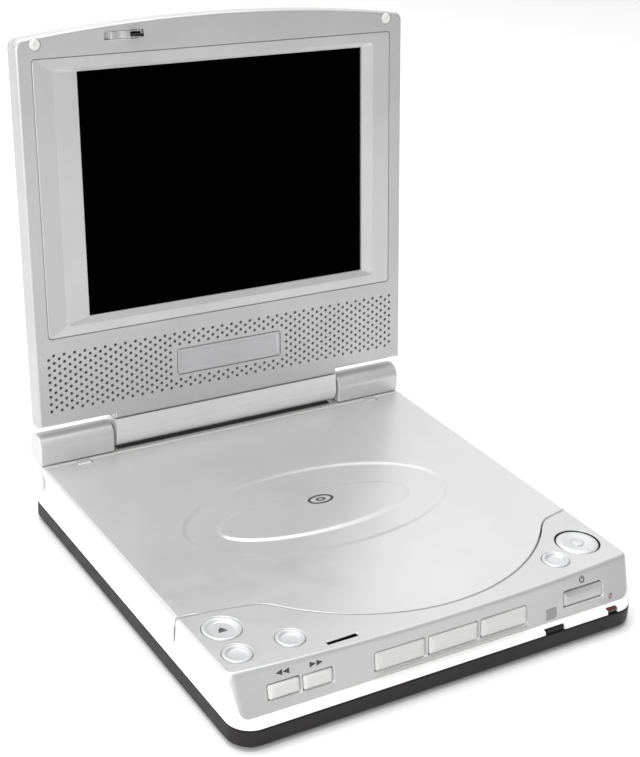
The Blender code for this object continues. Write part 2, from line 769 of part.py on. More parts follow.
def drive(case):
    wall_foot = 7.0
    wall_top = 12.4
    plate_box = box(CHASSIS_LEFT, CHASSIS_RIGHT, CHASSIS_FRONT, CHASSIS_REAR, CHASSIS_LOW, CHASSIS_TOP)
    chassis = solid("drive_chassis", plate_box, case, STEEL)
    add_to(
        chassis,
        solid("wall_front", box(-20.5, 27, 11.0, ROD_FRONT - 0.4, wall_foot, wall_top), case),
        solid("wall_left", box(-20, -14, ROD_REAR + GAP, 71.8, wall_foot, wall_top), case),
        solid("wall_right", box(14, 26, ROD_REAR + GAP, 71.8, wall_foot, wall_top), case),
    )
    carve(
        chassis,
        solid("cut_motor", box(17.6, 29.4, 72.3, 85.2, 5, 9), case),
        solid("cut_pickup", box(-13, 13, 20, 66, 5, 9), case),
        solid("cut_journal", along_y(SCREW_X, ROD_REAR, 73, SCREW_Z, JOURNAL_R, 16), case),
    )
    foot = CHASSIS_TOP + THIN_GAP
    outer = 4.0
    waist = 3.2
    profile = [(1.5, foot), (outer, foot), (outer, 9.6), (waist, 10.2), (waist, 11.1), (outer, 11.7)]
    profile += [(outer, 13.1), (1.5, 13.1)]
    for name, (x, y) in DAMPER_PLACES.items():
        solid(f"damper_{name}", turned(profile, 20), case, RUBBER, at=(x, y, 0))
    profile = [(0, foot), (MOTOR_R, foot), (MOTOR_R, 11.6), (MOTOR_R - 0.8, 12.4), (3.0, 12.4), (3.0, 12.9)]
    profile += [(1.0, 12.9), (1.0, 15.8), (0, 15.8)]
    solid("spindle_motor", turned(profile), case, STEEL, at=(HUB_X, HUB_Y, 0))
    for name, x in (("left", -ROD_X), ("right", ROD_X)):
        solid(f"guide_rod_{name}", along_y(x, ROD_FRONT, ROD_REAR, ROD_Z, ROD_R), case, STEEL)
    solid("sled_motor", plate(rectangle(18.0, 29.0, 6.0, 13.0, 2.4), 72.6, 84.8), case, STEEL)
    profile = [(0, 16.2), (1.35, 16.2), (1.35, 13.3), (3.4, 13.3), (3.4, 15.3), (TABLE_R, 15.3)]
    profile += [(TABLE_R, 16.9), (CLAMP_R, 16.9), (CLAMP_R, 18.6), (CLAMP_R - 0.9, 19.3), (0, 19.3)]
    solid("turntable_hub", turned(profile), case, WELL_BLACK, at=(HUB_X, HUB_Y, 0))
    tip_r = 0.8
    profile = [(0, 0), (1.2, 0), (LEAD_R, 0.4), (LEAD_R, 54.6), (tip_r, 55.0), (tip_r, 58.2), (0, 58.2)]
    screw = turned(profile, 16)
    bmesh.ops.rotate(screw, matrix=Matrix.Rotation(math.radians(-90), 3, "X"), verts=screw.verts)
    solid("lead_screw", screw, case, STEEL, at=(SCREW_X, ROD_FRONT, SCREW_Z))


def pickup(case):
    place = (HUB_X, SLED_Y, 0)
    half_length = 10.0
    sled_box = box(-SLED_HALF, SLED_HALF, -half_length, half_length, 8.2, SLED_TOP)
    sled = solid("pickup_sled", sled_box, case, CHARCOAL, at=place)
    add_to(
        sled,
        solid("nut_arm", box(19.0, 26.5, -3, 3, 11.8, SLED_TOP), case, at=place),
        solid("lens_tower", disc(0, 0, 4.4, 12.0, 13.9, 24), case, at=place),
    )
    for name, x in (("left", -ROD_X), ("right", ROD_X)):
        bore = along_y(x, -half_length - 2, half_length + 2, ROD_Z, ROD_R + GAP)
        carve(sled, solid(f"cut_rod_{name}", bore, case, at=place))
    profile = [(0, 14.2), (2.6, 14.2), (2.6, 14.7), (1.9, 15.0), (0, 15.1)]
    solid("pickup_lens", turned(profile, 24), case, LENS, at=place)


def boards(case):
    main = prism(rectangle(-70, 70, 16.5, 140, 2.0), MAIN_BOARD_LOW, MAIN_BOARD_LOW + BOARD_THICK)
    solid("main_board", main, case, BOARD)
    wing = 43.0
    far = 72.5
    front = 7.9
    outline = [(-far, 18.0), (-67.0, 10.4), (-60, front), (60, front), (67.0, 10.4), (far, 18.0), (far, 36.0)]
    outline += [(50.0, 36.0), (wing, 28.0), (wing, 10.4), (-wing, 10.4), (-wing, 28.0), (-50.0, 36.0)]
    outline += [(-far, 36.0)]
    board = solid("key_board", prism(outline, KEY_BOARD_LOW, KEY_BOARD_LOW + BOARD_THICK), case, BOARD)
    for name in ("front_left", "front_right"):
        x, y = SCREW_PLACES[name]
        cut = disc(x, y, POST_R + 0.6, KEY_BOARD_LOW - 0.8, KEY_BOARD_LOW + BOARD_THICK + 1.0, 20)
        carve(board, solid(f"cut_board_{name}", cut, case))
    pack = prism(rectangle(32.0, 62.0, 40.0, 136.0, 3.0), PACK_LOW, PACK_TOP)
    solid("battery_pack", pack, case, WRAP)
    for name, y in JACKS.items():
        body = box(JACK_INNER, HALF - WALL - GAP, y - JACK_HALF, y + JACK_HALF, PACK_LOW, PACK_TOP)
        jack = solid(name, body, case, CHARCOAL)
        hole = along_x(JACK_INNER + 1.3, HALF, y, JACK_Z, JACK_BORE_R)
        carve(jack, solid(f"cut_bore_{name}", hole, case))


# ---------------------------------------------------------------- disc door


def disc_door(case):
    """The door is made round its own hinge axis, which lies inside its rounded rear edge."""
    axis = (0, DOOR_PIVOT_Y, DOOR_PIVOT_Z)
    hinge = frame_empty("door_axis", axis, case)

    def local(shape):
        bmesh.ops.translate(shape, vec=[-value for value in axis], verts=shape.verts)
        return shape

    outline = under_door(0, HALF, DOOR_PIVOT_Y)
    door = solid("disc_door", local(prism(outline, DOOR_SKIRT_FOOT, DECK_TOP)), hinge, DOOR_SILVER)
    inside = prism(under_door(-DOOR_WALL, HALF - DOOR_WALL, 150), 10, DECK_TOP - DOOR_THICK)
    front = box(-HALF - 4, HALF + 4, -5, DOOR_SKIRT_FRONT, 10, DOOR_LIP_FOOT)
    within = box(-HALF + DOOR_WALL, HALF - DOOR_WALL, -5, DOOR_FRONT_CLEAR, 10, DOOR_LIP_FOOT)
    rear = box(-HALF - 4, HALF + 4, 143.9, 150, 10, DOOR_LIP_FOOT + 0.4)
    carve(
        door,
        solid("cut_door_inside", local(inside), hinge),
        solid("cut_door_front", local(front), hinge),
        solid("cut_door_within", local(within), hinge),
        solid("cut_door_rear", local(rear), hinge),
    )
    roll = along_x(-HALF + 0.3, HALF - 0.3, DOOR_PIVOT_Y, DOOR_PIVOT_Z, DOOR_ROLL_R, 24)
    add_to(door, solid("door_roll", local(roll), hinge))
    for side in (-1, 1):
        x0 = side * LUG_X - LUG_WIDTH / 2 - GAP
        x1 = side * LUG_X + LUG_WIDTH / 2 + GAP
        notch = box(x0, x1, DOOR_PIVOT_Y - 1.75, DOOR_PIVOT_Y + 4, 18, 24)
        carve(door, solid(f"cut_notch_{side}", local(notch), hinge))
        for end, (a, b) in {"outer": (x0 - 1.0, x0 + 1.6), "inner": (x1 - 1.6, x1 + 1.0)}.items():
            stub = along_x(a, b, DOOR_PIVOT_Y, DOOR_PIVOT_Z, 0.65, 12)
            add_to(door, solid(f"stub_{side}_{end}", local(stub), hinge))


# ---------------------------------------------------------------- screen

LCD_X = 2.3
LCD_HALF_WIDTH = 56.7
LCD_LOW = FACE_ZERO + 35.3
LCD_HIGH = FACE_ZERO + 121.0
BEZEL_HALF = 70.8
BEZEL_LOW = FACE_ZERO + 29.4
BEZEL_HIGH = FACE_ZERO + 126.3
SLOPE_HALF = 63.6
SLOPE_LOW = FACE_ZERO + 33.0
SLOPE_HIGH = FACE_ZERO + 122.6
BUMPER_X = 69.2
BUMPER_Z = FACE_ZERO + 131.0
BUMPER_R = 2.0
PLATE_HALF = 21.5
PLATE_LOW = FACE_ZERO + 7.85
PLATE_HIGH = FACE_ZERO + 17.35
LATCH_Z = HINGE_Y - SLOT_Y
LATCH_LEFT = -44.4
LATCH_RIGHT = -29.8
LATCH_HALF = 1.3
SPEAKER_X = 48.0
SPEAKER_Z = FACE_ZERO + 13.0


def screen_front_frame(screen):
    outline = screen_outline()
    rim = screen_outline(0.4)
    frame = solid(
        "screen_front_frame",
        stand(
            loft(
                [
                    (rim, SCREEN_FRONT),
                    (outline, SCREEN_FRONT + 0.4),
                    (outline, SCREEN_PARTING - THIN_GAP),
                ]
            )
        ),
        screen,
        SILVER,
    )
    hollow = plate(screen_outline(WALL, 1.6), SCREEN_FRONT + WALL, 3)
    opening = plate(rectangle(-BEZEL_HALF, BEZEL_HALF, BEZEL_LOW, BEZEL_HIGH, 1.5), -9, 3)
    latch = plate(
        rectangle(LATCH_LEFT, LATCH_RIGHT, LATCH_Z - LATCH_HALF - GAP, LATCH_Z + LATCH_HALF + GAP),
        -9,
        0,
    )
    pocket = plate(
        rectangle(-PLATE_HALF - THIN_GAP, PLATE_HALF + THIN_GAP, PLATE_LOW - THIN_GAP, PLATE_HIGH + THIN_GAP),
        -9,
        SCREEN_FRONT + 0.9,
    )
    carve(
        frame,
        solid("cut_frame_hollow", hollow, screen),
        solid("cut_frame_opening", opening, screen),
        solid("cut_frame_latch", latch, screen),
        solid("cut_frame_plate", pocket, screen),
    )
    for side in (-1, 1):
        socket = along_y(side * BUMPER_X, -9, SCREEN_FRONT + 1.1, BUMPER_Z, BUMPER_R + THIN_GAP, 24)
        carve(frame, solid(f"cut_bumper_{side}", socket, screen))


def screen_back_shell(screen):
    full = screen_outline(split=False)
    shell = solid(
        "screen_back_shell",
        stand(
            loft(
                [
                    (full, SCREEN_PARTING),
                    (full, SCREEN_FRONT + 7.2),
                    (screen_outline(2.0, split=False), 3.6),
                    (screen_outline(BACK_INSET, 6.0, split=False), SCREEN_BACK),
                ]
            )
        ),
        screen,
        SILVER,
    )
    hollow = stand(
        loft(
            [
                (screen_outline(WALL, 1.6, split=False), SCREEN_PARTING - 2),
                (screen_outline(WALL, 1.6, split=False), 1.4),
                (screen_outline(3.4, 2.0, split=False), 2.2),
                (screen_outline(9.2, 5.0, split=False), SCREEN_BACK - WALL),
            ]
        )
    )
    carve(shell, solid("cut_shell", hollow, screen))
    barrel = along_x(BARREL_LEFT, BARREL_RIGHT, 0, 0, BARREL_R, 28)
    neck = box(BARREL_LEFT, BARREL_RIGHT, -4.9, 4.6, 0.2, SCREEN_STEP - THIN_GAP)
    web = box(BARREL_LEFT + 0.4, BARREL_RIGHT - 0.4, SCREEN_PARTING, 4.2, 4.0, SCREEN_FOOT + 1.2)
    add_to(
        shell,
        solid("barrel", barrel, screen),
        solid("barrel_neck", neck, screen),
        solid("barrel_web", web, screen),
    )
    bore = along_x(BARREL_LEFT - 2, BARREL_RIGHT + 2, 0, 0, SHAFT_R + THIN_GAP)
    carve(shell, solid("cut_barrel", bore, screen))


def lcd_parts(screen):
    frame = rectangle(-BEZEL_HALF + GAP, BEZEL_HALF - GAP, BEZEL_LOW + GAP, BEZEL_HIGH - GAP, 1.2)
    bezel = solid("lcd_bezel", plate(frame, SCREEN_FRONT + 0.05, SCREEN_FRONT + 2.2), screen, SILVER)
    slope = rectangle(-SLOPE_HALF, SLOPE_HALF, SLOPE_LOW, SLOPE_HIGH)
    window = rectangle(LCD_X - LCD_HALF_WIDTH, LCD_X + LCD_HALF_WIDTH, LCD_LOW, LCD_HIGH)
    opening = stand(
        loft(
            [
                (slope, SCREEN_FRONT - 1.0),
                (slope, SCREEN_FRONT + 0.05),
                (window, SCREEN_FRONT + 1.7),
                (window, SCREEN_FRONT + 4.0),
            ]
        )
    )
    carve(bezel, solid("cut_bezel", opening, screen))
    panel = rectangle(LCD_X - 60, LCD_X + 60, LCD_LOW - 4, LCD_HIGH + 4, 0.8)
    solid("lcd_panel", plate(panel, -2.5, -0.9), screen, SCREEN_BLACK)
    solid("lcd_backlight", plate(panel, -0.55, 1.9), screen, STEEL)
    board = rectangle(-44, 44, LCD_LOW + 6, LCD_LOW + 52, 1.5)
    solid("lcd_driver_board", plate(board, 2.3, 3.5), screen, BOARD)


def screen_fittings(screen):
    name_plate = rectangle(-PLATE_HALF, PLATE_HALF, PLATE_LOW, PLATE_HIGH, 0.6)
    solid("name_plate", plate(name_plate, SCREEN_FRONT, SCREEN_FRONT + 0.6), screen, SILVER)
    profile = [(0, 0.8), (BUMPER_R, 0.8), (BUMPER_R, -0.1), (BUMPER_R - 0.5, -0.3), (0, -0.35)]
    for side, name in ((-1, "left"), (1, "right")):
        bumper = turned(profile[::-1], 24)
        spot = (side * BUMPER_X, SCREEN_FRONT, BUMPER_Z)
        solid(f"bumper_{name}", lay_back(bumper), screen, PALE_RUBBER, at=spot)
        speaker = [(0, 0), (9.5, 0), (9.5, 0.8), (5.0, 2.4), (5.0, 5.0), (0, 5.0)]
        spot = (side * SPEAKER_X, SCREEN_FRONT + WALL + THIN_GAP, SPEAKER_Z)
        solid(f"speaker_{name}", lay_back(turned(speaker)), screen, CHARCOAL, at=spot)
        inner = BARREL_LEFT if side < 0 else BARREL_RIGHT
        ends = sorted((inner - side * SHAFT_IN, inner + side * SHAFT_OUT))
        solid(f"hinge_shaft_{name}", along_x(ends[0], ends[1], 0, 0, SHAFT_R), screen, STEEL)


def lay_back(shape):
    """Turns a body made along Z so that its +Z points to the screen's back."""
    bmesh.ops.rotate(shape, matrix=Matrix.Rotation(math.radians(-90), 3, "X"), verts=shape.verts)
    return shape


def latch_hook(screen):
    """A thumb slide with a flange behind the frame and a hook that enters the deck's slot."""
    outline = [(-45.9, -2.1), (-45.9, -3.05), (-42.0, -3.05), (-42.0, -4.7), (-34.6, -4.7)]
    outline += [(-34.6, -8.0), (-34.2, -8.4), (-31.6, -8.4), (-31.2, -8.0), (-31.2, -4.7)]
    outline += [(-30.3, -4.7), (-30.3, -3.05), (-28.4, -3.05), (-28.4, -2.1)]
    origin = -36.0
    shape = prism([(x - origin, y) for x, y in outline], -LATCH_HALF, LATCH_HALF)
    place = (origin, 0, LATCH_Z)
    hook = solid("latch_hook", shape, screen, SILVER, at=place)
    side = LATCH_HALF - 0.55
    x0 = -34.9 - origin
    x1 = -30.9 - origin
    trims = {"upper": box(x0, x1, -9, -5.05, side, 3), "lower": box(x0, x1, -9, -5.05, -3, -side)}
    for name, trim in trims.items():
        carve(hook, solid(f"cut_hook_{name}", trim, screen, at=place))


def main():
    clear_scene()
    case = frame_empty("case_frame", (0, -MIDDLE_Y, FOOT_PROUD))
    screen = frame_empty("screen_axis", (0, HINGE_Y, HINGE_Z), case, -LEAN)
    bottom_cover(case)
    upper_casing(case)
    hinge_covers(case)
    feet_and_screws(case)
    deck_controls(case)
    front_keys(case)
    strip_parts(case)
    volume_wheel(case)
    disc_well_deck(case)
    drive(case)
    pickup(case)
    boards(case)
    disc_door(case)
    screen_front_frame(screen)
    screen_back_shell(screen)
    lcd_parts(screen)
    screen_fittings(screen)
    latch_hook(screen)


main()
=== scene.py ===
"""A portable disc player with a folding screen: its visible pieces, materials, light and camera."""

import json
import math

import bmesh
import bpy
from mathutils import Matrix, Vector


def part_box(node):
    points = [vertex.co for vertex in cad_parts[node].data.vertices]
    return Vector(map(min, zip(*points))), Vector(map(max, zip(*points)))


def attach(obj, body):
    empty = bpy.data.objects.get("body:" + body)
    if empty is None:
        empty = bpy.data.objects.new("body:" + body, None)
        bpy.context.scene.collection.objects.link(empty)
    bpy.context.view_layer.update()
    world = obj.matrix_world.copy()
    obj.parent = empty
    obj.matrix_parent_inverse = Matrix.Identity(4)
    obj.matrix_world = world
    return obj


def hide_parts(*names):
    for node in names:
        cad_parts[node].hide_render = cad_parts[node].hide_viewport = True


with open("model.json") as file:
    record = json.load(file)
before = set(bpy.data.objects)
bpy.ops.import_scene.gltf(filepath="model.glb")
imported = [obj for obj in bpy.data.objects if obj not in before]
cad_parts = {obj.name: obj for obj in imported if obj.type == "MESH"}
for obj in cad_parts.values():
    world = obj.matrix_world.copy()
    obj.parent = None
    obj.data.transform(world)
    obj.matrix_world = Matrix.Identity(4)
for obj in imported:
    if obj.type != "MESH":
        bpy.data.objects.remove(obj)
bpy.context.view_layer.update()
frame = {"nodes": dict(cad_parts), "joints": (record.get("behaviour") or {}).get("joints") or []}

MM = 0.001
GAP = 0.35
THIN_GAP = 0.3
WALL = 1.6

# ---------------------------------------------------------------- sizes of the base

CASE_WIDTH = 152.3
CASE_DEPTH = 156.6
HALF = CASE_WIDTH / 2
COVER_TOP = 5.9
RIM_BOTTOM = COVER_TOP + THIN_GAP
LEDGE_TOP = 8.0
DECK_TOP = 21.96
DECK_UNDER = DECK_TOP - WALL
STRIP_FOOT_Y = 2.7
STRIP_HEAD_Y = 8.5
STRIP_BOW = 3.8
FRONT_CORNER = 8.0
STRIP_CORNER = 4.6
DECK_CORNER = 2.8
REAR_CORNER = 6.0
SIDE_TOP = 13.2
REAR_STRIP_Y = 147.0
EDGE_ROUND = 1.4
HEAD_SHARE = 0.5

# ---------------------------------------------------------------- sizes of the screen

HINGE_Y = 152.6
HINGE_Z = 27.5
BARREL_R = 5.2
BARREL_LEFT = -47.0
BARREL_RIGHT = 46.5
SCREEN_FRONT = -5.0
SCREEN_PARTING = -1.0
SCREEN_BACK = 6.0
SCREEN_FOOT = 8.5
SCREEN_STEP = 6.6
SCREEN_HEAD = 144.0
SCREEN_BOW = 4.5
SCREEN_CORNER = 3.0
FACE_ZERO = 11.0
SHAFT_R = 2.0

# ---------------------------------------------------------------- sizes of the door

DOOR_THICK = 1.8
DOOR_PIVOT_Y = 145.2
DOOR_PIVOT_Z = 20.56
DOOR_ROLL_R = 1.35
DOOR_ARC_X = 7.0
DOOR_ARC_Y = 81.5
DOOR_ARC_R = 70.5
DOOR_SKIRT_FOOT = 13.5
DOOR_SKIRT_FRONT = 42.3
DOOR_WALL = 1.5
DOOR_FRONT_CLEAR = 43.6
DOOR_LIP_FOOT = 18.9
DOOR_SIDE_Y = 41.8
LUG_X = 61.0
LUG_WIDTH = 5.2

HUB_Y = 81.0
HUB_HOLE_R = 16.0
WELL_R = 61.5
WELL_FOOT = 13.0
WELL_FLOOR = 15.0
WELL_RIM = 18.5
WELL_REAR = 146.3
PICKUP_SLOT = (-7.5, 7.5, 20.4, 70.0, 3.0)
SLED_Y = 57.0

# ---------------------------------------------------------------- the two frames of the object

cover_low, cover_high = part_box("bottom_cover")
CASE_PLACE = Matrix.Translation(((cover_low.x + cover_high.x) / 2, cover_low.y, cover_low.z))
JOINTS = {joint["name"]: joint for joint in frame["joints"]}
QUARTER_TURN_DEG = 90.0
LEAN = math.radians(-JOINTS["screen_hinge"]["range_deg"][0] - QUARTER_TURN_DEG)
SCREEN_PLACE = Matrix.Translation(JOINTS["screen_hinge"]["pos_m"]) @ Matrix.Rotation(-LEAN, 4, "X")

# ---------------------------------------------------------------- outlines


def arc(x, y, radius, start, end, steps=10):
    """Points on a circle from one angle to another, in degrees, both ends included."""
    angles = [math.radians(start + (end - start) * i / steps) for i in range(steps + 1)]
    return [(x + radius * math.cos(a), y + radius * math.sin(a)) for a in angles]


def quarter(steps):
    """The sines and cosines along a quarter turn, both ends included."""
    angles = [math.radians(90 * k / steps) for k in range(steps + 1)]
    return [(math.sin(angle), math.cos(angle)) for angle in angles]


def circle(x, y, radius, steps=48):
    return arc(x, y, radius, 0, 360 - 360 / steps, steps - 1)


def rectangle(x0, x1, y0, y1, corner=0.0, steps=5):
    if not corner:
        return [(x0, y0), (x1, y0), (x1, y1), (x0, y1)]
    points = arc(x0 + corner, y0 + corner, corner, 180, 270, steps)
    points += arc(x1 - corner, y0 + corner, corner, 270, 360, steps)
    points += arc(x1 - corner, y1 - corner, corner, 0, 90, steps)
    points += arc(x0 + corner, y1 - corner, corner, 90, 180, steps)
    return points


def grown(x0, x1, y0, y1, corner, growth):
    """A rounded rectangle moved outward by a distance, or inward if it is negative."""
    return rectangle(x0 - growth, x1 + growth, y0 - growth, y1 + growth, max(corner + growth, 0.05))


def divided(outline, longest):
    """A closed outline with its long sides cut into equal parts of a length or less."""
    points = []
    for (xa, ya), (xb, yb) in zip(outline, outline[1:] + outline[:1]):
        parts = max(1, round(math.hypot(xb - xa, yb - ya) / longest))
        points += [(xa + (xb - xa) * i / parts, ya + (yb - ya) * i / parts) for i in range(parts)]
    return points


def bezier(p0, p1, p2, p3):
    """Points inside a cubic curve, its two ends left out."""
    steps = 8
    points = []
    for i in range(1, steps):
        t = i / steps
        weights = ((1 - t) ** 3, 3 * t * (1 - t) ** 2, 3 * t * t * (1 - t), t**3)
        x = sum(w * p[0] for w, p in zip(weights, (p0, p1, p2, p3)))
        y = sum(w * p[1] for w, p in zip(weights, (p0, p1, p2, p3)))
        points.append((x, y))
    return points


def offset_line(points, distance):
    """An open line moved to its left by a distance."""
    moved = []
    for i, (x, y) in enumerate(points):
        before = points[max(i - 1, 0)]
        after = points[min(i + 1, len(points) - 1)]
        dx = after[0] - before[0]
        dy = after[1] - before[1]
        length = math.hypot(dx, dy)
        moved.append((x - distance * dy / length, y + distance * dx / length))
    return moved


def case_outline(front, bow=0.0, inset=0.0, corner=FRONT_CORNER):
    """The base seen from above, anticlockwise, with its front edge at the given place."""
    half = HALF - inset
    near = front + inset
    far = CASE_DEPTH - inset
    small = max(corner - inset, 0.8)
    rear = max(REAR_CORNER - inset, 1.0)
    span = half - small
    steps = 24
    points = arc(-half + small, near + small, small, 180, 270, 12)
    for i in range(1, steps):
        x = -span + 2 * span * i / steps
        points.append((x, near - bow * (1 - (x / span) ** 2)))
    points += arc(half - small, near + small, small, 270, 360, 12)
    points += arc(half - rear, far - rear, rear, 0, 90, 8)
    points += arc(-half + rear, far - rear, rear, 90, 180, 8)
    return points


def door_front():
    """The door's front edge from left to right: an arc round the disc with a flare at each end."""
    sweep = arc(DOOR_ARC_X, DOOR_ARC_Y, DOOR_ARC_R, 223.0, 319.5, 48)
    left_flare = (-53.0, 38.3)
    right_flare = (66.5, 39.6)
    points = [(-HALF, DOOR_SIDE_Y), (-64.5, 40.3), left_flare]
    points += bezier(left_flare, (-49.0, 37.6), (-46.6, 35.9), sweep[0])
    points += sweep
    points += bezier(sweep[-1], (62.2, 37.2), (63.8, 38.9), right_flare)
    points += [right_flare, (71.0, 40.6), (HALF, DOOR_SIDE_Y)]
    return points


def under_door(forward, side, rear):
    """The area behind the door's front edge, moved forward, out to the sides and up to rear."""
    edge = offset_line(door_front(), -forward)
    edge[0] = (-side, edge[0][1])
    edge[-1] = (side, edge[-1][1])
    return edge + [(side, rear), (-side, rear)]


def front_zone(back, inset, z):
    """The deck in front of the door, seen from above, back to the key strip's inner face."""
    front = strip_line(z) + WALL
    bow = STRIP_BOW * strip_share(z)
    edge = offset_line(door_front(), -back)
    half = HALF - inset
    edge[0] = (-half, edge[0][1])
    edge[-1] = (half, edge[-1][1])
    corner = FRONT_CORNER - inset
    span = half - corner
    points = arc(-half + corner, front + corner, corner, 180, 270)
    for i in range(1, 12):
        x = -span + 2 * span * i / 12
        points.append((x, front - bow * (1 - (x / span) ** 2)))
    points += arc(half - corner, front + corner, corner, 270, 360)
    return points + edge[::-1]


def screen_outline(inset=0.0, corner=SCREEN_CORNER, split=True):
    """The screen seen from its front, with a bowed head and a step at the hinge barrel."""
    half = HALF - inset
    foot = SCREEN_FOOT + inset
    head = SCREEN_HEAD - inset
    points = [(-half, foot)]
    if split:
        step = SCREEN_STEP + inset
        left = BARREL_LEFT + inset
        right = BARREL_RIGHT - inset
        points += [(left, foot), (left, step), (right, step), (right, foot)]
    points.append((half, foot))
    points += arc(half - corner, head - corner, corner, 0, 90, 8)
    span = half - corner
    steps = 24
    for i in range(1, steps):
        x = span - 2 * span * i / steps
        points.append((x, head + SCREEN_BOW * (1 - (x / span) ** 2)))
    points += arc(-half + corner, head - corner, corner, 90, 180, 8)
    return points


# ---------------------------------------------------------------- bodies in millimetres


def skin(rings):
    """A closed body through rings of points in space."""
    shape = bmesh.new()
    made = [[shape.verts.new(point) for point in ring] for ring in rings]
    sides = []
    for low, high in zip(made, made[1:]):
        for i in range(len(low)):
            j = (i + 1) % len(low)
            sides.append(shape.faces.new((low[i], low[j], high[j], high[i])))
    bmesh.ops.triangulate(shape, faces=sides)
    shape.faces.new(made[0][::-1])
    shape.faces.new(made[-1])
    return shape


def loft(levels):
    """A closed body through outlines of equal length, each given with its height."""
    return skin([[(x, y, z) for x, y in outline] for outline, z in levels])


def stepped(sizes, steps):
    """A body through one rounded rectangle, grown by a distance at each height."""
    return loft([(grown(*sizes, growth), height) for growth, height in steps])


def prism(outline, low, high):
    shape = bmesh.new()
    bottom = [shape.verts.new((x, y, low)) for x, y in outline]
    top = [shape.verts.new((x, y, high)) for x, y in outline]
    for i in range(len(bottom)):
        j = (i + 1) % len(bottom)
        shape.faces.new((bottom[i], bottom[j], top[j], top[i]))
    shape.faces.new(bottom[::-1])
    shape.faces.new(top)
    return shape


def box(x0, x1, y0, y1, z0, z1):
    return prism(rectangle(x0, x1, y0, y1), z0, z1)


def disc(x, y, radius, low, high, steps=48):
    return prism(circle(x, y, radius, steps), low, high)


def turned(profile, steps=64):
    """A body turned about Z from a closed profile of radius and height. Radius 0 is the axis."""
    shape = bmesh.new()
    rings = []
    for radius, height in profile:
        if radius:
            rings.append([shape.verts.new((x, y, height)) for x, y in circle(0, 0, radius, steps)])
        else:
            rings.append([shape.verts.new((0, 0, height))])
    pairs = list(zip(rings, rings[1:]))
    if all(radius for radius, _ in profile):
        pairs.append((rings[-1], rings[0]))
    for first, second in pairs:
        for i in range(steps):
            j = (i + 1) % steps
            corners = [first[i % len(first)], first[j % len(first)]]
            corners += [second[j % len(second)], second[i % len(second)]]
            face = list(dict.fromkeys(corners))
            if len(face) > 2:
                shape.faces.new(face)
    return shape


def hoop(rings):
    """A closed ring-shaped body through sections that follow each other all the way round."""
    shape = bmesh.new()
    made = [[shape.verts.new(point) for point in ring] for ring in rings]
    for first, second in zip(made, made[1:] + made[:1]):
        for i in range(len(first)):
            j = (i + 1) % len(first)
            shape.faces.new((first[i], first[j], second[j], second[i]))
    return shape


def moved(shape, at=(0, 0, 0), turn=None):
    """The same body turned by a matrix about the origin and then moved."""
    if turn is not None:
        bmesh.ops.transform(shape, matrix=turn, verts=shape.verts)
    bmesh.ops.translate(shape, vec=at, verts=shape.verts)
    return shape


def stand(shape):
    """Turns a body made along Z so that its height lies along Y, for plates that face forward."""
    swap = Matrix(((1, 0, 0, 0), (0, 0, 1, 0), (0, 1, 0, 0), (0, 0, 0, 1)))
    bmesh.ops.transform(shape, matrix=swap, verts=shape.verts)
    return shape


def plate(outline, front, back):
    return stand(prism(outline, front, back))


def side_on(shape):
    """Turns a body made from an outline of Y and Z along Z so that its length lies along X."""
    cycle = Matrix(((0, 0, 1, 0), (1, 0, 0, 0), (0, 1, 0, 0), (0, 0, 0, 1)))
    bmesh.ops.transform(shape, matrix=cycle, verts=shape.verts)
    return shape


def along_x(x0, x1, y, z, radius, steps=48):
    return side_on(prism(circle(y, z, radius, steps), x0, x1))


def along_y(x, y0, y1, z, radius, steps=32):
    return plate(circle(x, z, radius, steps), y0, y1)


def lay_back(shape):
    """Turns a body made along Z so that its +Z points to the screen's back."""
    bmesh.ops.transform(shape, matrix=Matrix.Rotation(math.radians(-90), 4, "X"), verts=shape.verts)
    return shape


def merged(*shapes):
    """Several bodies that don't touch, as one."""
    mesh = bpy.data.meshes.new("merged")
    whole = bmesh.new()
    for shape in shapes:
        shape.to_mesh(mesh)
        shape.free()
        whole.from_mesh(mesh)
    bpy.data.meshes.remove(mesh)
    return whole


def work_object(shape):
    bmesh.ops.recalc_face_normals(shape, faces=shape.faces)
    mesh = bpy.data.meshes.new("work")
    shape.to_mesh(mesh)
    shape.free()
    item = bpy.data.objects.new("work", mesh)
    bpy.context.scene.collection.objects.link(item)
    return item


def combined(shape, operation, others):
    """The first body with each of the others cut from it or joined to it."""
    item = work_object(shape)
    helpers = [work_object(other) for other in others]
    for helper in helpers:
        modifier = item.modifiers.new("work", "BOOLEAN")
        modifier.operation = operation
        modifier.object = helper
    graph = bpy.context.evaluated_depsgraph_get()
    mesh = bpy.data.meshes.new_from_object(item.evaluated_get(graph))
    result = bmesh.new()
    result.from_mesh(mesh)
    bpy.data.meshes.remove(mesh)
    for used in (item, *helpers):
        old = used.data
        bpy.data.objects.remove(used)
        bpy.data.meshes.remove(old)
    return result


def carved(shape, *cutters):
    return combined(shape, "DIFFERENCE", cutters)


def joined(shape, *pieces):
    return combined(shape, "UNION", pieces)


def hole(x, y, radius, low, top, flare, steps=48):
    """A round cutter along Z whose mouth opens in a small curve at the surface."""
    profile = [(0, low), (radius, low)]
    for rise, run in quarter(4):
        profile.append((radius + flare * (1 - run), top - flare + flare * rise))
    profile += [(radius + flare, top + 2), (0, top + 2)]
    return moved(turned(profile, steps), (x, y, 0))


def window(x0, x1, y0, y1, corner, low, top, flare):
    """A rounded rectangular cutter along Z whose mouth opens in a small curve at the surface."""
    mouth = [(flare * (1 - run), top - flare + flare * rise) for rise, run in quarter(3)]
    return stepped((x0, x1, y0, y1, corner), [(0, low), *mouth, (flare, top + 2)])


# ---------------------------------------------------------------- finished pieces


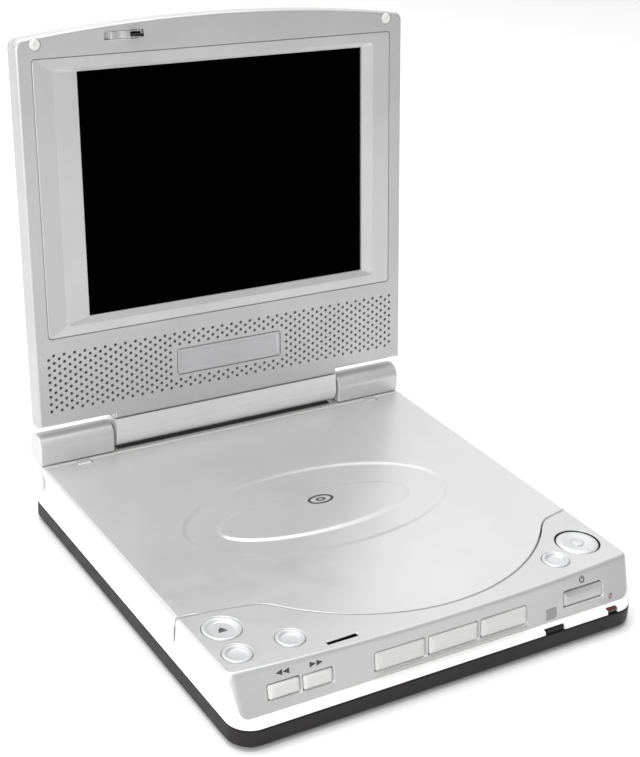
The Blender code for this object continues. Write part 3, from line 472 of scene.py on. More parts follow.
def piece(name, shape, place, body, looks, stands_for=(), choose=None, smooth=34.0):
    """Makes a visible piece from a body in millimetres and lets it ride on a moving body."""
    bmesh.ops.remove_doubles(shape, verts=shape.verts, dist=0.0005)
    bmesh.ops.recalc_face_normals(shape, faces=shape.faces)
    if choose is not None:
        for face in shape.faces:
            face.material_index = choose(face.calc_center_median(), face.normal)
    bmesh.ops.scale(shape, vec=(MM, MM, MM), verts=shape.verts)
    mesh = bpy.data.meshes.new(name)
    shape.to_mesh(mesh)
    shape.free()
    mesh.shade_smooth()
    mesh.set_sharp_from_angle(angle=math.radians(smooth))
    item = bpy.data.objects.new(name, mesh)
    bpy.context.scene.collection.objects.link(item)
    item.matrix_world = place
    for look in looks if isinstance(looks, (list, tuple)) else [looks]:
        mesh.materials.append(look)
    weighted = item.modifiers.new("weighted_normals", "WEIGHTED_NORMAL")
    weighted.keep_sharp = True
    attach(item, body)
    if stands_for:
        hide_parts(*stands_for)
    return item


# ---------------------------------------------------------------- materials


class Look:
    """A procedural material under construction, in object coordinates."""

    def __init__(self, name):
        self.material = bpy.data.materials.new(name)
        self.material.use_nodes = True
        self.tree = self.material.node_tree
        self.shader = self.tree.nodes["Principled BSDF"]
        self.place = self.tree.nodes.new("ShaderNodeTexCoord").outputs["Object"]

    def node(self, kind, **values):
        made = self.tree.nodes.new(kind)
        for key, value in values.items():
            if key in made.inputs:
                made.inputs[key].default_value = value
            else:
                setattr(made, key, value)
        return made

    def join(self, output, target):
        self.tree.links.new(output, target)

    def drive(self, socket, output):
        self.join(output, self.shader.inputs[socket])

    def set(self, socket, value):
        self.shader.inputs[socket].default_value = value

    def stretched(self, scale):
        mapping = self.node("ShaderNodeMapping", Scale=scale)
        self.join(self.place, mapping.inputs["Vector"])
        return mapping.outputs["Vector"]

    def noise(self, scale, detail=3.0, rough=0.55, vector=None):
        made = self.node("ShaderNodeTexNoise", Scale=scale, Detail=detail, Roughness=rough)
        self.join(vector or self.place, made.inputs["Vector"])
        return made.outputs["Fac"]

    def ranged(self, value, low, high, start=0.3, end=0.7):
        made = self.node("ShaderNodeMapRange")
        made.inputs["From Min"].default_value = start
        made.inputs["From Max"].default_value = end
        made.inputs["To Min"].default_value = low
        made.inputs["To Max"].default_value = high
        self.join(value, made.inputs["Value"])
        return made.outputs["Result"]

    def mixed(self, share, first, second):
        made = self.tree.nodes.new("ShaderNodeMix")
        made.data_type = "RGBA"
        self.join(share, made.inputs["Factor"])
        for socket, colour in (("A", first), ("B", second)):
            slot = next(s for s in made.inputs if s.name == socket and s.type == "RGBA")
            if isinstance(colour, tuple):
                slot.default_value = (*colour, 1.0)
            else:
                self.join(colour, slot)
        return next(s for s in made.outputs if s.type == "RGBA")

    def bump(self, height, strength, distance):
        made = self.node("ShaderNodeBump", Strength=strength, Distance=distance)
        self.join(height, made.inputs["Height"])
        self.join(made.outputs["Normal"], self.shader.inputs["Normal"])


def shade(colour, amount):
    return tuple(min(1.0, channel * amount) for channel in colour)


def painted(name, colour, roughness, metallic, flake=0.08, cloud=0.05, coat=0.0):
    """Silver paint: a fine metal flake, a slight cloudiness and a soft gloss that varies a little."""
    look = Look(name)
    flakes = look.noise(2600.0, 1.0, 0.4)
    clouds = look.noise(28.0, 4.0, 0.6)
    pale = look.mixed(look.ranged(clouds, 0, 1), shade(colour, 1 - cloud), shade(colour, 1 + cloud))
    flecked = look.mixed(look.ranged(flakes, 0, flake, 0.45, 0.75), pale, shade(colour, 1.2))
    look.drive("Base Color", flecked)
    wear = look.noise(90.0, 5.0, 0.65)
    look.drive("Roughness", look.ranged(wear, roughness - 0.035, roughness + 0.035))
    look.set("Metallic", metallic)
    look.set("Coat Weight", coat)
    look.set("Coat Roughness", 0.12)
    look.bump(look.noise(1500.0, 2.0, 0.5), 0.03, 0.00002)
    return look.material


def moulded(name, colour, roughness, grain=1400.0, depth=0.12, specular=0.5, cloud=0.03):
    """Moulded plastic with a fine spark-eroded grain."""
    look = Look(name)
    clouds = look.noise(22.0, 4.0, 0.6)
    varied = look.mixed(look.ranged(clouds, 0, 1), shade(colour, 1 - cloud), shade(colour, 1 + cloud))
    look.drive("Base Color", varied)
    wear = look.noise(140.0, 4.0, 0.6)
    look.drive("Roughness", look.ranged(wear, roughness - 0.05, roughness + 0.05))
    look.set("Specular IOR Level", specular)
    look.bump(look.noise(grain, 3.0, 0.6), depth, 0.00006)
    return look.material


def rubber(name, colour):
    look = Look(name)
    dust = look.noise(400.0, 5.0, 0.7)
    dusty = look.mixed(look.ranged(dust, 0, 1, 0.35, 0.8), colour, shade(colour, 1.6))
    look.drive("Base Color", dusty)
    look.drive("Roughness", look.ranged(dust, 0.72, 0.9))
    look.set("Specular IOR Level", 0.3)
    look.bump(look.noise(1900.0, 4.0, 0.6), 0.3, 0.00008)
    return look.material


def metal(name, colour, roughness, along=(40.0, 2600.0, 2600.0)):
    """Drawn or brushed metal, its fine lines stretched along one axis."""
    look = Look(name)
    lines = look.noise(1.0, 3.0, 0.6, look.stretched(along))
    worn = look.mixed(look.ranged(lines, 0, 1), shade(colour, 0.88), shade(colour, 1.08))
    look.drive("Base Color", worn)
    look.drive("Roughness", look.ranged(lines, roughness - 0.07, roughness + 0.1))
    look.set("Metallic", 1.0)
    look.bump(lines, 0.08, 0.00003)
    return look.material


def circuit(name):
    """A solder-masked board: faint copper runs under green lacquer, with tinned pads."""
    look = Look(name)
    runs = look.node("ShaderNodeTexBrick", Scale=260.0)
    look.join(look.place, runs.inputs["Vector"])
    runs.inputs["Mortar Size"].default_value = 0.06
    runs.inputs["Color1"].default_value = (0.012, 0.16, 0.05, 1)
    runs.inputs["Color2"].default_value = (0.016, 0.19, 0.065, 1)
    runs.inputs["Mortar"].default_value = (0.03, 0.3, 0.10, 1)
    pads = look.node("ShaderNodeTexVoronoi", Scale=330.0)
    look.join(look.place, pads.inputs["Vector"])
    tinned = look.ranged(pads.outputs["Distance"], 1, 0, 0.16, 0.2)
    look.drive("Base Color", look.mixed(tinned, runs.outputs["Color"], (0.6, 0.6, 0.58)))
    look.drive("Roughness", look.ranged(look.noise(60.0), 0.3, 0.45))
    look.bump(runs.outputs["Fac"], 0.2, 0.00005)
    return look.material


def black_panel(name):
    """The dark display: nearly no reflection, with its fine dot structure in the gloss only."""
    look = Look(name)
    dots = look.noise(3000.0, 1.0, 0.4)
    deep = look.mixed(look.ranged(dots, 0, 1), (0.0001, 0.0001, 0.0001), (0.0003, 0.0003, 0.0003))
    look.drive("Base Color", deep)
    look.drive("Roughness", look.ranged(dots, 0.42, 0.5))
    look.set("Specular IOR Level", 0.005)
    return look.material


def coated_lens(name):
    look = Look(name)
    tint = look.mixed(look.ranged(look.noise(120.0), 0, 1), (0.05, 0.08, 0.30), (0.16, 0.10, 0.36))
    look.drive("Base Color", tint)
    look.drive("Roughness", look.ranged(look.noise(300.0), 0.03, 0.07))
    look.set("Coat Weight", 1.0)
    return look.material


def ink(name, colour):
    look = Look(name)
    patchy = look.noise(2500.0, 2.0, 0.5)
    uneven = look.mixed(look.ranged(patchy, 0, 1), colour, shade(colour, 1.5))
    look.drive("Base Color", uneven)
    look.drive("Roughness", look.ranged(patchy, 0.5, 0.65))
    return look.material


SCREEN_SILVER = painted("silver_paint_screen", (0.54, 0.542, 0.54), 0.4, 0.5)
# The picture bezel's slope is the screen's paint made lighter: a painted highlight where light falls on the
# slope.
SLOPE_SILVER_PAINTED_LIGHT = painted("silver_paint_slope_painted_light", (0.61, 0.612, 0.61), 0.34, 0.5)
DOOR_SILVER = painted("silver_paint_door", (0.635, 0.637, 0.635), 0.325, 0.55, cloud=0.03)
DECK_SILVER = painted("silver_paint_deck", (0.565, 0.567, 0.565), 0.33, 0.45, cloud=0.03)
# The key strip's silver is the deck's paint made darker: painted shade for the sloped face that turns away
# from the light.
STRIP_SILVER_PAINTED_SHADE = painted("silver_paint_strip_painted_shade", (0.49, 0.492, 0.49), 0.38, 0.35, cloud=0.03)
BARREL_SILVER = painted("silver_paint_barrel", (0.78, 0.78, 0.78), 0.32, 0.42)
COVER_SILVER = painted("silver_paint_covers", (0.63, 0.63, 0.63), 0.34, 0.4)
PLATE_SILVER = painted("silver_paint_plate", (0.5, 0.5, 0.51), 0.33, 0.4)
BUTTON_SILVER = painted("silver_paint_buttons", (0.56, 0.565, 0.57), 0.32, 0.3)
KEY_PEARL = painted("pearl_keys", (0.58, 0.58, 0.575), 0.34, 0.0, flake=0.02, coat=0.1)
CASING_WHITE = moulded("white_casing", (0.88, 0.875, 0.87), 0.34, 1800.0, 0.06)
CHARCOAL = moulded("charcoal_casing", (0.012, 0.010, 0.0105), 0.5, 1200.0, 0.25, 0.3, 0.15)
WELL_BLACK = moulded("black_well", (0.022, 0.022, 0.024), 0.42, 1500.0, 0.22, cloud=0.12)
HUB_BLACK = moulded("black_hub", (0.03, 0.03, 0.032), 0.35, 2000.0, 0.1, cloud=0.1)
# Black trim for the rim catch and the latch hook; also laid in the deck's slot, the trench under the barrel,
# the nav pad's well and the latch notch as painted shade.
BLACK_TRIM_AND_PAINTED_SHADE = moulded("black_trim_and_painted_shade", (0.006, 0.0055, 0.0055), 0.45, 1500.0, 0.2, 0.25)
RUBBER_BLACK = rubber("black_rubber", (0.022, 0.022, 0.022))
RUBBER_PALE = rubber("pale_rubber", (0.56, 0.56, 0.55))
STEEL = metal("drawn_steel", (0.56, 0.56, 0.57), 0.3)
STEEL_TURNED = metal("turned_steel", (0.5, 0.5, 0.51), 0.26, (2400.0, 2400.0, 50.0))
BOARD = circuit("circuit_board")
LENS = coated_lens("coated_lens")
PANEL_BLACK = black_panel("display_black")
SMOKED = moulded("smoked_window", (0.26, 0.26, 0.265), 0.34, 900.0, 0.02)
LAMP = moulded("lamp_lens", (0.26, 0.21, 0.2), 0.18, 900.0, 0.02)
DARK_RED = moulded("dark_red_insert", (0.06, 0.010, 0.010), 0.22, 900.0, 0.05)
WRAP = moulded("battery_wrap", (0.06, 0.10, 0.24), 0.4, 700.0, 0.1, cloud=0.1)
CLOTH_BLACK = moulded("grille_cloth", (0.006, 0.006, 0.006), 0.85, 2600.0, 0.8)
GREY_INK = ink("grey_ink", (0.03, 0.03, 0.032))
PALE_INK = ink("pale_grey_ink", (0.33, 0.335, 0.34))

# ---------------------------------------------------------------- the sloped key strip


def strip_share(z):
    """How far up the key strip a height lies, from 0 at its foot to 1 at the deck."""
    return (z - LEDGE_TOP) / (DECK_TOP - LEDGE_TOP)


def strip_line(z):
    """How far back the strip lies at its ends at a height, from its foot to its head."""
    return STRIP_FOOT_Y + strip_share(z) * (STRIP_HEAD_Y - STRIP_FOOT_Y)


def strip_corner(z):
    """The radius of the strip's rounded ends at a height: they grow tighter towards the deck."""
    return STRIP_CORNER + strip_share(z) * (DECK_CORNER - STRIP_CORNER)


def front_y(x, z):
    """Where the sloped key strip's face lies, its rounded ends included."""
    corner = strip_corner(z)
    span = HALF - corner
    if abs(x) <= span:
        return strip_line(z) - strip_share(z) * STRIP_BOW * (1 - (x / span) ** 2)
    across = min(abs(x) - span, corner)
    return strip_line(z) + corner - math.sqrt(corner**2 - across**2)


def on_strip(shape, x, z):
    """The body set on the key strip at a place, leaning back with it."""
    slope = math.atan2(front_y(x, DECK_TOP) - STRIP_FOOT_Y, DECK_TOP - LEDGE_TOP)
    place = Matrix.Translation((x, front_y(x, z), z)) @ Matrix.Rotation(-slope, 4, "X")
    bmesh.ops.transform(shape, matrix=place, verts=shape.verts)
    return shape


DECK_BUTTONS = {
    # name: middle X, middle Y, radius
    "open_button": (-66.0, 30.5, 6.2),
    "menu_button": (-68.0, 17.0, 4.6),
    "display_button": (-50.0, 17.0, 4.6),
    "mode_button": (51.2, 16.2, 4.6),
}
NAV_X = 65.3
NAV_Y = 22.0
NAV_WELL_R = 7.8
NAV_PAD_R = 7.2
NAV_WELL_FLOOR = 20.9
NAV_BORE_R = 4.4
FRONT_KEYS = {
    # name: left X, right X, foot Z, head Z
    "previous_key": (-64.0, -53.3, 12.2, 16.7),
    "next_key": (-52.3, -42.2, 12.1, 16.6),
    "stop_key": (-27.5, -9.2, 11.1, 17.1),
    "pause_key": (-7.8, 10.9, 11.1, 17.1),
    "play_key": (12.3, 30.4, 11.1, 17.1),
    "power_key": (46.4, 62.9, 11.8, 16.9),
}
BUTTON_TOP = 22.2
DISH_DROP = 0.8
SLOT_X0 = -41.6
SLOT_X1 = -30.8
SLOT_Y = 9.55
SLOT_WIDTH = 1.4
WINDOW_X = 40.8
WINDOW_Z = 11.4
WINDOW_WIDTH = 4.4
WINDOW_HEIGHT = 3.6
LAMP_X = 66.2
LAMP_Z = 10.8
LAMP_R = 0.9
WHEEL_X = 69.6
WHEEL_Y = 24.0
WHEEL_R = 7.08
WHEEL_LOW = 10.4
WHEEL_TOP = 12.6
JACKS = {"headphone_jack": 46.0, "av_jack": 58.0, "dc_jack": 70.0}
JACK_Z = 9.2
TO_THE_RIGHT = Matrix.Rotation(math.radians(90), 4, "Y")
CORNERS = ("front_left", "front_right", "rear_left", "rear_right")
NOTCHES = ((36.4, 44.5, 5.95, 7.9), (62.7, 67.2, 6.45, 7.95))
PANEL_X = 75.6
PANEL_TAPER = 0.16
PANEL_FOOT = 8.7
PANEL_CORNER = 3.6


def panel_edge(z):
    """How far out the silver key strip reaches at a height."""
    return PANEL_X + (z - DECK_TOP) * PANEL_TAPER


def panel_outline():
    """The edge of the silver key strip, down one end, along its foot and up the other."""
    turn = PANEL_FOOT + PANEL_CORNER
    span = panel_edge(turn) - PANEL_CORNER
    right = arc(span, turn, PANEL_CORNER, 270, 360, 10)
    rise = DECK_TOP + 0.6 - turn
    right += [(panel_edge(turn + rise * i / 20), turn + rise * i / 20) for i in range(1, 21)]
    left = [(-x, z) for x, z in right[::-1]]
    foot = [(-60 + 120 * i / 24, PANEL_FOOT) for i in range(25)]
    return left + foot + right


def panel_groove():
    """A fine groove round the silver key strip, as a band that follows its face."""
    width = 0.2
    depth = 0.3
    outer = panel_outline()
    inner = offset_line(outer, width)
    rings = []
    for (xa, za), (xb, zb) in zip(outer, inner):
        ya = front_y(max(-HALF + 0.2, min(HALF - 0.2, xa)), za)
        yb = front_y(xb, zb)
        rings.append([(xa, ya - 1.5, za), (xb, yb - 1.5, zb), (xb, yb + depth, zb), (xa, ya + depth, za)])
    return skin(rings)


def inside_panel(x, z):
    """Whether a spot on the front lies on the silver key strip."""
    if abs(x) > panel_edge(z) - 0.1 or z < PANEL_FOOT:
        return False
    turn = PANEL_FOOT + PANEL_CORNER
    across = abs(x) - (panel_edge(turn) - PANEL_CORNER)
    return not (across > 0 and z < turn and math.hypot(across, turn - z) > PANEL_CORNER)


# ---------------------------------------------------------------- the base shell


def shell_levels():
    """The casing's outlines from the rim up to the deck, its ledge and its top edge rounded."""
    levels = [
        (case_outline(0.35, inset=0.15), RIM_BOTTOM),
        (case_outline(0.2), RIM_BOTTOM + 0.15),
        (case_outline(0.25), 7.1),
        (case_outline(0.45, corner=7.8), 7.45),
        (case_outline(0.9, corner=7.2), 7.74),
        (case_outline(1.6, corner=6.2), 7.92),
        (case_outline(STRIP_FOOT_Y, corner=STRIP_CORNER), LEDGE_TOP),
    ]
    rows = 5
    side_foot = DECK_TOP - EDGE_ROUND
    for i in range(1, rows):
        z = LEDGE_TOP + (side_foot - LEDGE_TOP) * i / rows
        bow = STRIP_BOW * strip_share(z)
        levels.append((case_outline(strip_line(z), bow, corner=strip_corner(z)), z))
    for rise, run in quarter(6):
        inset = EDGE_ROUND * (1 - run)
        z = side_foot + EDGE_ROUND * rise
        front = strip_line(z) - (1 - HEAD_SHARE) * inset
        levels.append((case_outline(front, STRIP_BOW * strip_share(z), inset, strip_corner(z)), z))
    return levels


def lug(side):
    """The arm that holds the door's stub pins: a round nose on a short block."""
    low = 19.0
    radius = 1.3
    outline = arc(DOOR_PIVOT_Y, DOOR_PIVOT_Z, radius, 90, 180, 10)
    outline += [(DOOR_PIVOT_Y - radius, low), (REAR_STRIP_Y + 1.0, low)]
    outline += [(REAR_STRIP_Y + 1.0, DOOR_PIVOT_Z + radius)]
    return moved(side_on(prism(outline, 0, LUG_WIDTH)), (side * LUG_X - LUG_WIDTH / 2, 0, 0))


def key_hole(x0, x1, z0, z1):
    """The cutter of a key's window in the strip, with a softly rounded mouth."""
    half_width = (x1 - x0) / 2 + GAP
    half_height = (z1 - z0) / 2 + GAP
    flare = 0.22
    mouth = [(flare * (1 - rise), flare * (1 - run)) for rise, run in quarter(3)]
    sizes = (-half_width, half_width, -half_height, half_height, 0.7)
    shape = stepped(sizes, [(flare, -3), *mouth, (0, 3.4)])
    return on_strip(stand(shape), (x0 + x1) / 2, (z0 + z1) / 2)


def lip(x0, x1, z, proud, tall):
    """A thin raised moulding along the foot of the large keys."""
    rings = []
    steps = 40
    for i in range(steps + 1):
        x = x0 + (x1 - x0) * i / steps
        size = min(1.0, (0.3 + min(i, steps - i)) / 1.3)
        ring = []
        for px, pz in circle(0, 0, 1.0, 12):
            ring.append((x, front_y(x, z) + px * proud * size, z + pz * tall * size / 2))
        rings.append(ring)
    return skin(rings)


def base_shell():
    """The hollow upper casing with the room for its door, its windows, slots, jacks and notches."""
    shape = loft(shell_levels())
    bmesh.ops.triangulate(shape, faces=shape.faces)
    cavity = loft(
        [
            (case_outline(0.4, inset=WALL), 4.0),
            (case_outline(0.8, inset=WALL), LEDGE_TOP - 1.4),
            (case_outline(STRIP_FOOT_Y + 0.3, inset=WALL), LEDGE_TOP + 0.6),
            (case_outline(STRIP_FOOT_Y + 2.0, STRIP_BOW * 0.35, inset=WALL), SIDE_TOP + 0.1),
        ]
    )
    front_pocket = loft([(front_zone(1.7, WALL, z), z) for z in (SIDE_TOP - 0.4, DECK_UNDER)])
    edge = 0.18
    front_gap = GAP + 0.12
    side = HALF + 5
    steps = ((0, SIDE_TOP), (0, DECK_TOP - edge), (edge * 0.3, DECK_TOP - edge * 0.3))
    steps += ((edge, DECK_TOP), (edge, DECK_TOP + 5))
    levels = [(under_door(front_gap + wider, side, REAR_STRIP_Y + wider), z) for wider, z in steps]
    door_room = loft(levels)
    rear_pocket = prism(rectangle(-HALF + WALL, HALF - WALL, 148.4, 155.0, 1.0), SIDE_TOP - 0.5, DECK_UNDER)
    shape = carved(shape, cavity, front_pocket, door_room, rear_pocket)
    shape = joined(shape, lug(-1), lug(1), lip(-27.6, 31.0, 9.95, 0.42, 0.95))
    shape = carved(shape, panel_groove())
    holes = []
    for x, y, radius in DECK_BUTTONS.values():
        holes.append(hole(x, y, radius + 0.2, DECK_UNDER - 1, DECK_TOP, 0.35))
    nav = [(0, 15), (NAV_BORE_R, 15), (NAV_BORE_R, NAV_WELL_FLOOR)]
    nav += [(NAV_WELL_R - 0.3, NAV_WELL_FLOOR), (NAV_WELL_R - 0.05, NAV_WELL_FLOOR + 0.2)]
    nav += [(NAV_WELL_R, DECK_TOP - 0.3), (NAV_WELL_R + 0.1, DECK_TOP - 0.08), (NAV_WELL_R + 0.3, DECK_TOP)]
    nav += [(NAV_WELL_R + 0.3, DECK_TOP + 1), (0, DECK_TOP + 1)]
    holes.append(moved(turned(nav), (NAV_X, NAV_Y, 0)))
    half_slot = SLOT_WIDTH / 2
    holes.append(window(SLOT_X0, SLOT_X1, SLOT_Y - half_slot, SLOT_Y + half_slot, 0.3, 18, DECK_TOP, 0.4))
    key_holes = [key_hole(*sizes) for sizes in FRONT_KEYS.values()]
    half_width = WINDOW_WIDTH / 2 + 0.12
    half_height = WINDOW_HEIGHT / 2 + 0.12
    eye = plate(rectangle(-half_width, half_width, -half_height, half_height, 0.5), -3, 4)
    holes.append(on_strip(eye, WINDOW_X, WINDOW_Z))
    holes.append(on_strip(along_y(0, -3, 6, 0, LAMP_R + 0.12, 24), LAMP_X, LAMP_Z))
    wheel_slot = rectangle(WHEEL_Y - 5.2, WHEEL_Y + 5.2, WHEEL_LOW - GAP, WHEEL_TOP + GAP, 0.6)
    holes.append(side_on(prism(wheel_slot, HALF - 4, HALF + 2)))
    for y in JACKS.values():
        mouth = [(0, -3), (2.75, -3), (2.75, -0.3), (2.85, -0.1), (3.1, 0.0), (3.1, 1.0), (0, 1.0)]
        holes.append(moved(turned(mouth, 40), (HALF, y, JACK_Z), TO_THE_RIGHT))
    for x0, x1, z0, z1 in NOTCHES:
        holes.append(box(x0, x1, -2, 2.4, z0 - 0.5, z1))
    for side in (-1, 1):
        holes.append(along_x(side * LUG_X - 4, side * LUG_X + 4, DOOR_PIVOT_Y, DOOR_PIVOT_Z, 1.0, 24))
    # A shallow trench along the hinge barrel; choose() paints its floor black as the shadow under the
    # barrel.
    trench = (BARREL_LEFT + 1.0, BARREL_RIGHT - 0.6, HINGE_Y - 3.6, HINGE_Y + 2.0)
    trench_depth = 0.9
    holes.append(window(*trench, 0.3, DECK_TOP - trench_depth, DECK_TOP, 0.15))
    shape = carved(shape, merged(*holes), merged(*key_holes[::2]), merged(*key_holes[1::2]))

    looks = [CASING_WHITE, DECK_SILVER, BLACK_TRIM_AND_PAINTED_SHADE, STRIP_SILVER_PAINTED_SHADE]
    white, deck, dark, strip = range(len(looks))

    def choose(spot, normal):
        # Painted shade: the trench under the barrel, the slot's inside and the nav pad's well take the black
        # in place of their shadow.
        over_trench = trench[0] < spot.x < trench[1] and trench[2] < spot.y < trench[3]
        if over_trench and DECK_TOP - trench_depth - 0.1 < spot.z < DECK_TOP - 0.1:
            return dark
        in_slot = SLOT_X0 - 0.1 < spot.x < SLOT_X1 + 0.1 and abs(spot.y - SLOT_Y) < half_slot + 0.1
        if in_slot and spot.z < DECK_TOP - 0.3:
            return dark
        if math.hypot(spot.x - NAV_X, spot.y - NAV_Y) < NAV_WELL_R + 0.1 and spot.z < DECK_TOP - 0.2:
            return dark
        if spot.z > DECK_TOP - 0.5 and normal.z > 0.3:
            return deck
        # The key strip's faces take the darker silver: painted shade on the sloped front.
        on_front = spot.y < front_y(min(HALF - 0.3, abs(spot.x)), min(spot.z, DECK_TOP)) + 0.9
        if on_front and normal.y < -0.2 and inside_panel(spot.x, spot.z):
            return strip
        return white

    piece("base_shell", shape, CASE_PLACE, "base", looks, ["upper_casing"], choose)
    # A black liner at the bottom of the slot: painted shade that makes the slot read dark.
    sizes = (SLOT_X0, SLOT_X1, SLOT_Y - 1.0, SLOT_Y + 1.6, 0.4)
    slot_shade_liner = stepped(sizes, ((1.0, 16.9), (1.0, 18.0), (0.8, 18.2)))
    piece("slot_painted_shade_liner", slot_shade_liner, CASE_PLACE, "base", BLACK_TRIM_AND_PAINTED_SHADE)


def rim_inserts():
    """The black and the dark red pieces set in the notches of the rim."""
    for (x0, x1, z0, z1), name, look in zip(NOTCHES, ("rim_catch", "rim_sensor"), (BLACK_TRIM_AND_PAINTED_SHADE, DARK_RED)):
        front = 0.75
        levels = [
            (rectangle(x0 + 0.35, x1 - 0.35, z0 + 0.2, z1 - 0.3, 0.3), front),
            (rectangle(x0 + 0.12, x1 - 0.12, z0 + 0.05, z1 - 0.1, 0.3), front + 0.25),
            (rectangle(x0 + 0.12, x1 - 0.12, z0 + 0.05, z1 - 0.1, 0.3), 2.2),
        ]
        piece(name, stand(loft(levels)), CASE_PLACE, "base", look)


def base_tray():
    """The dark bottom cover with the seats of its feet and screws, its battery door and vents."""
    edge = 1.3
    levels = [(case_outline(0, inset=edge * (1 - rise)), edge * (1 - run)) for rise, run in quarter(5)]
    levels += [
        (case_outline(0), COVER_TOP - 0.3),
        (case_outline(0.02, inset=0.08), COVER_TOP - 0.08),
        (case_outline(0.1, inset=0.25), COVER_TOP),
    ]
    shape = loft(levels)
    inside = prism(case_outline(0, inset=WALL), WALL, 9)
    shape = carved(shape, inside)
    cuts = []
    for corner in CORNERS:
        x, y, radius, _, top = round_node(f"foot_{corner}")
        cuts.append(disc(x, y, radius + 0.3, -1, top + 0.3))
        x, y, *_ = round_node(f"case_screw_{corner}")
        well = [(0, -1), (2.95, -1), (2.95, 0.0), (2.55, 0.25), (2.45, 1.2), (1.2, 1.2), (1.2, 3), (0, 3)]
        cuts.append(moved(turned(well, 32), (x, y, 0)))
    battery_door = (-32, 32, 60, 96, 2)
    groove = 0.3
    cuts.append(stepped(battery_door, ((groove, -1), (groove, 0), (0, groove))))
    for i in range(9):
        x = -24 + i * 6
        cuts.append(prism(rectangle(x - 0.9, x + 0.9, 112, 128, 0.85), -1, WALL + 1))
    shape = carved(shape, merged(*cuts))
    piece("base_tray", shape, CASE_PLACE, "base", CHARCOAL, ["bottom_cover"])


def case_box(node):
    """The lowest and highest corner of a CAD node at rest, in millimetres in the case frame."""
    low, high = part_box(node)
    back = CASE_PLACE.inverted()
    return [value / MM for value in back @ low], [value / MM for value in back @ high]


def round_node(node):
    """A round CAD node's middle in X and Y, its radius, its foot and its top."""
    low, high = case_box(node)
    return (low[0] + high[0]) / 2, (low[1] + high[1]) / 2, (high[0] - low[0]) / 2, low[2], high[2]


def hinge_caps():
    """The two raised covers over the screen's hinge shafts."""
    for side in ("left", "right"):
        low, high = case_box(f"hinge_cover_{side}")
        foot = low[2]
        outline = arc(HINGE_Y, HINGE_Z, BARREL_R, 0, 180, 36)
        outline += [(HINGE_Y - BARREL_R, foot + 0.3), (HINGE_Y - BARREL_R + 0.3, foot)]
        outline += [(low[1] + BARREL_R + 3.6, foot), (high[1], foot)]
        centre = (HINGE_Y, HINGE_Z - 0.6)
        levels = []
        for x, inset in ((low[0], 0.45), (low[0] + 0.1, 0.2), (low[0] + 0.45, 0.0)):
            levels.append((shrunk(outline, centre, inset, foot), x))
        for x, inset in ((high[0] - 0.45, 0.0), (high[0] - 0.1, 0.2), (high[0], 0.45)):
            levels.append((shrunk(outline, centre, inset, foot), x))
        shape = side_on(loft(levels))
        inner = high[0] if side == "left" else low[0]
        outward = -1 if side == "left" else 1
        bore = sorted((inner - outward * 1.0, inner + outward * 16.5))
        shape = carved(shape, along_x(bore[0], bore[1], HINGE_Y, HINGE_Z, SHAFT_R + THIN_GAP, 32))
        node = f"hinge_cover_{side}"
        piece(f"hinge_cap_{side}", shape, CASE_PLACE, "base", COVER_SILVER, [node])


def shrunk(outline, centre, inset, foot):
    """An outline drawn in towards a centre by about a distance, its flat foot kept."""
    points = []
    for x, y in outline:
        away = math.hypot(x - centre[0], y - centre[1])
        share = 1 - inset / away
        points.append((centre[0] + (x - centre[0]) * share, max(foot, centre[1] + (y - centre[1]) * share)))
    return points


def feet_and_screws():
    """The four rubber feet and the four cross-head screws of the bottom cover."""
    for corner in CORNERS:
        x, y, radius, bottom, top = round_node(f"foot_{corner}")
        profile = [(0, bottom + 0.35), (radius * 0.55, bottom + 0.3), (radius * 0.66, bottom + 0.05)]
        profile += [(radius * 0.74, bottom), (radius * 0.86, bottom), (radius * 0.95, bottom + 0.12)]
        profile += [(radius, bottom + 0.45), (radius, top), (0, top)]
        foot = moved(turned(profile, 48), (x, y, 0))
        name = f"rubber_foot_{corner}"
        piece(name, foot, CASE_PLACE, "base", RUBBER_BLACK, [f"foot_{corner}"])
        x, y, radius, _, top = round_node(f"case_screw_{corner}")
        profile = [(0, 0.1), (radius * 0.8, 0.1), (radius, 0.3), (radius, 0.9), (0.9, 0.9)]
        profile += [(0.9, top - 0.6), (0, top)]
        across = box(-1.3, 1.3, -0.25, 0.25, -0.5, 0.55)
        along = box(-0.25, 0.25, -1.3, 1.3, -0.5, 0.55)
        screw = moved(carved(turned(profile, 32), across, along), (x, y, 0))
        name = f"case_screw_{corner}"
        piece(f"screw_{corner}", screw, CASE_PLACE, "base", STEEL_TURNED, [name])


# ---------------------------------------------------------------- controls


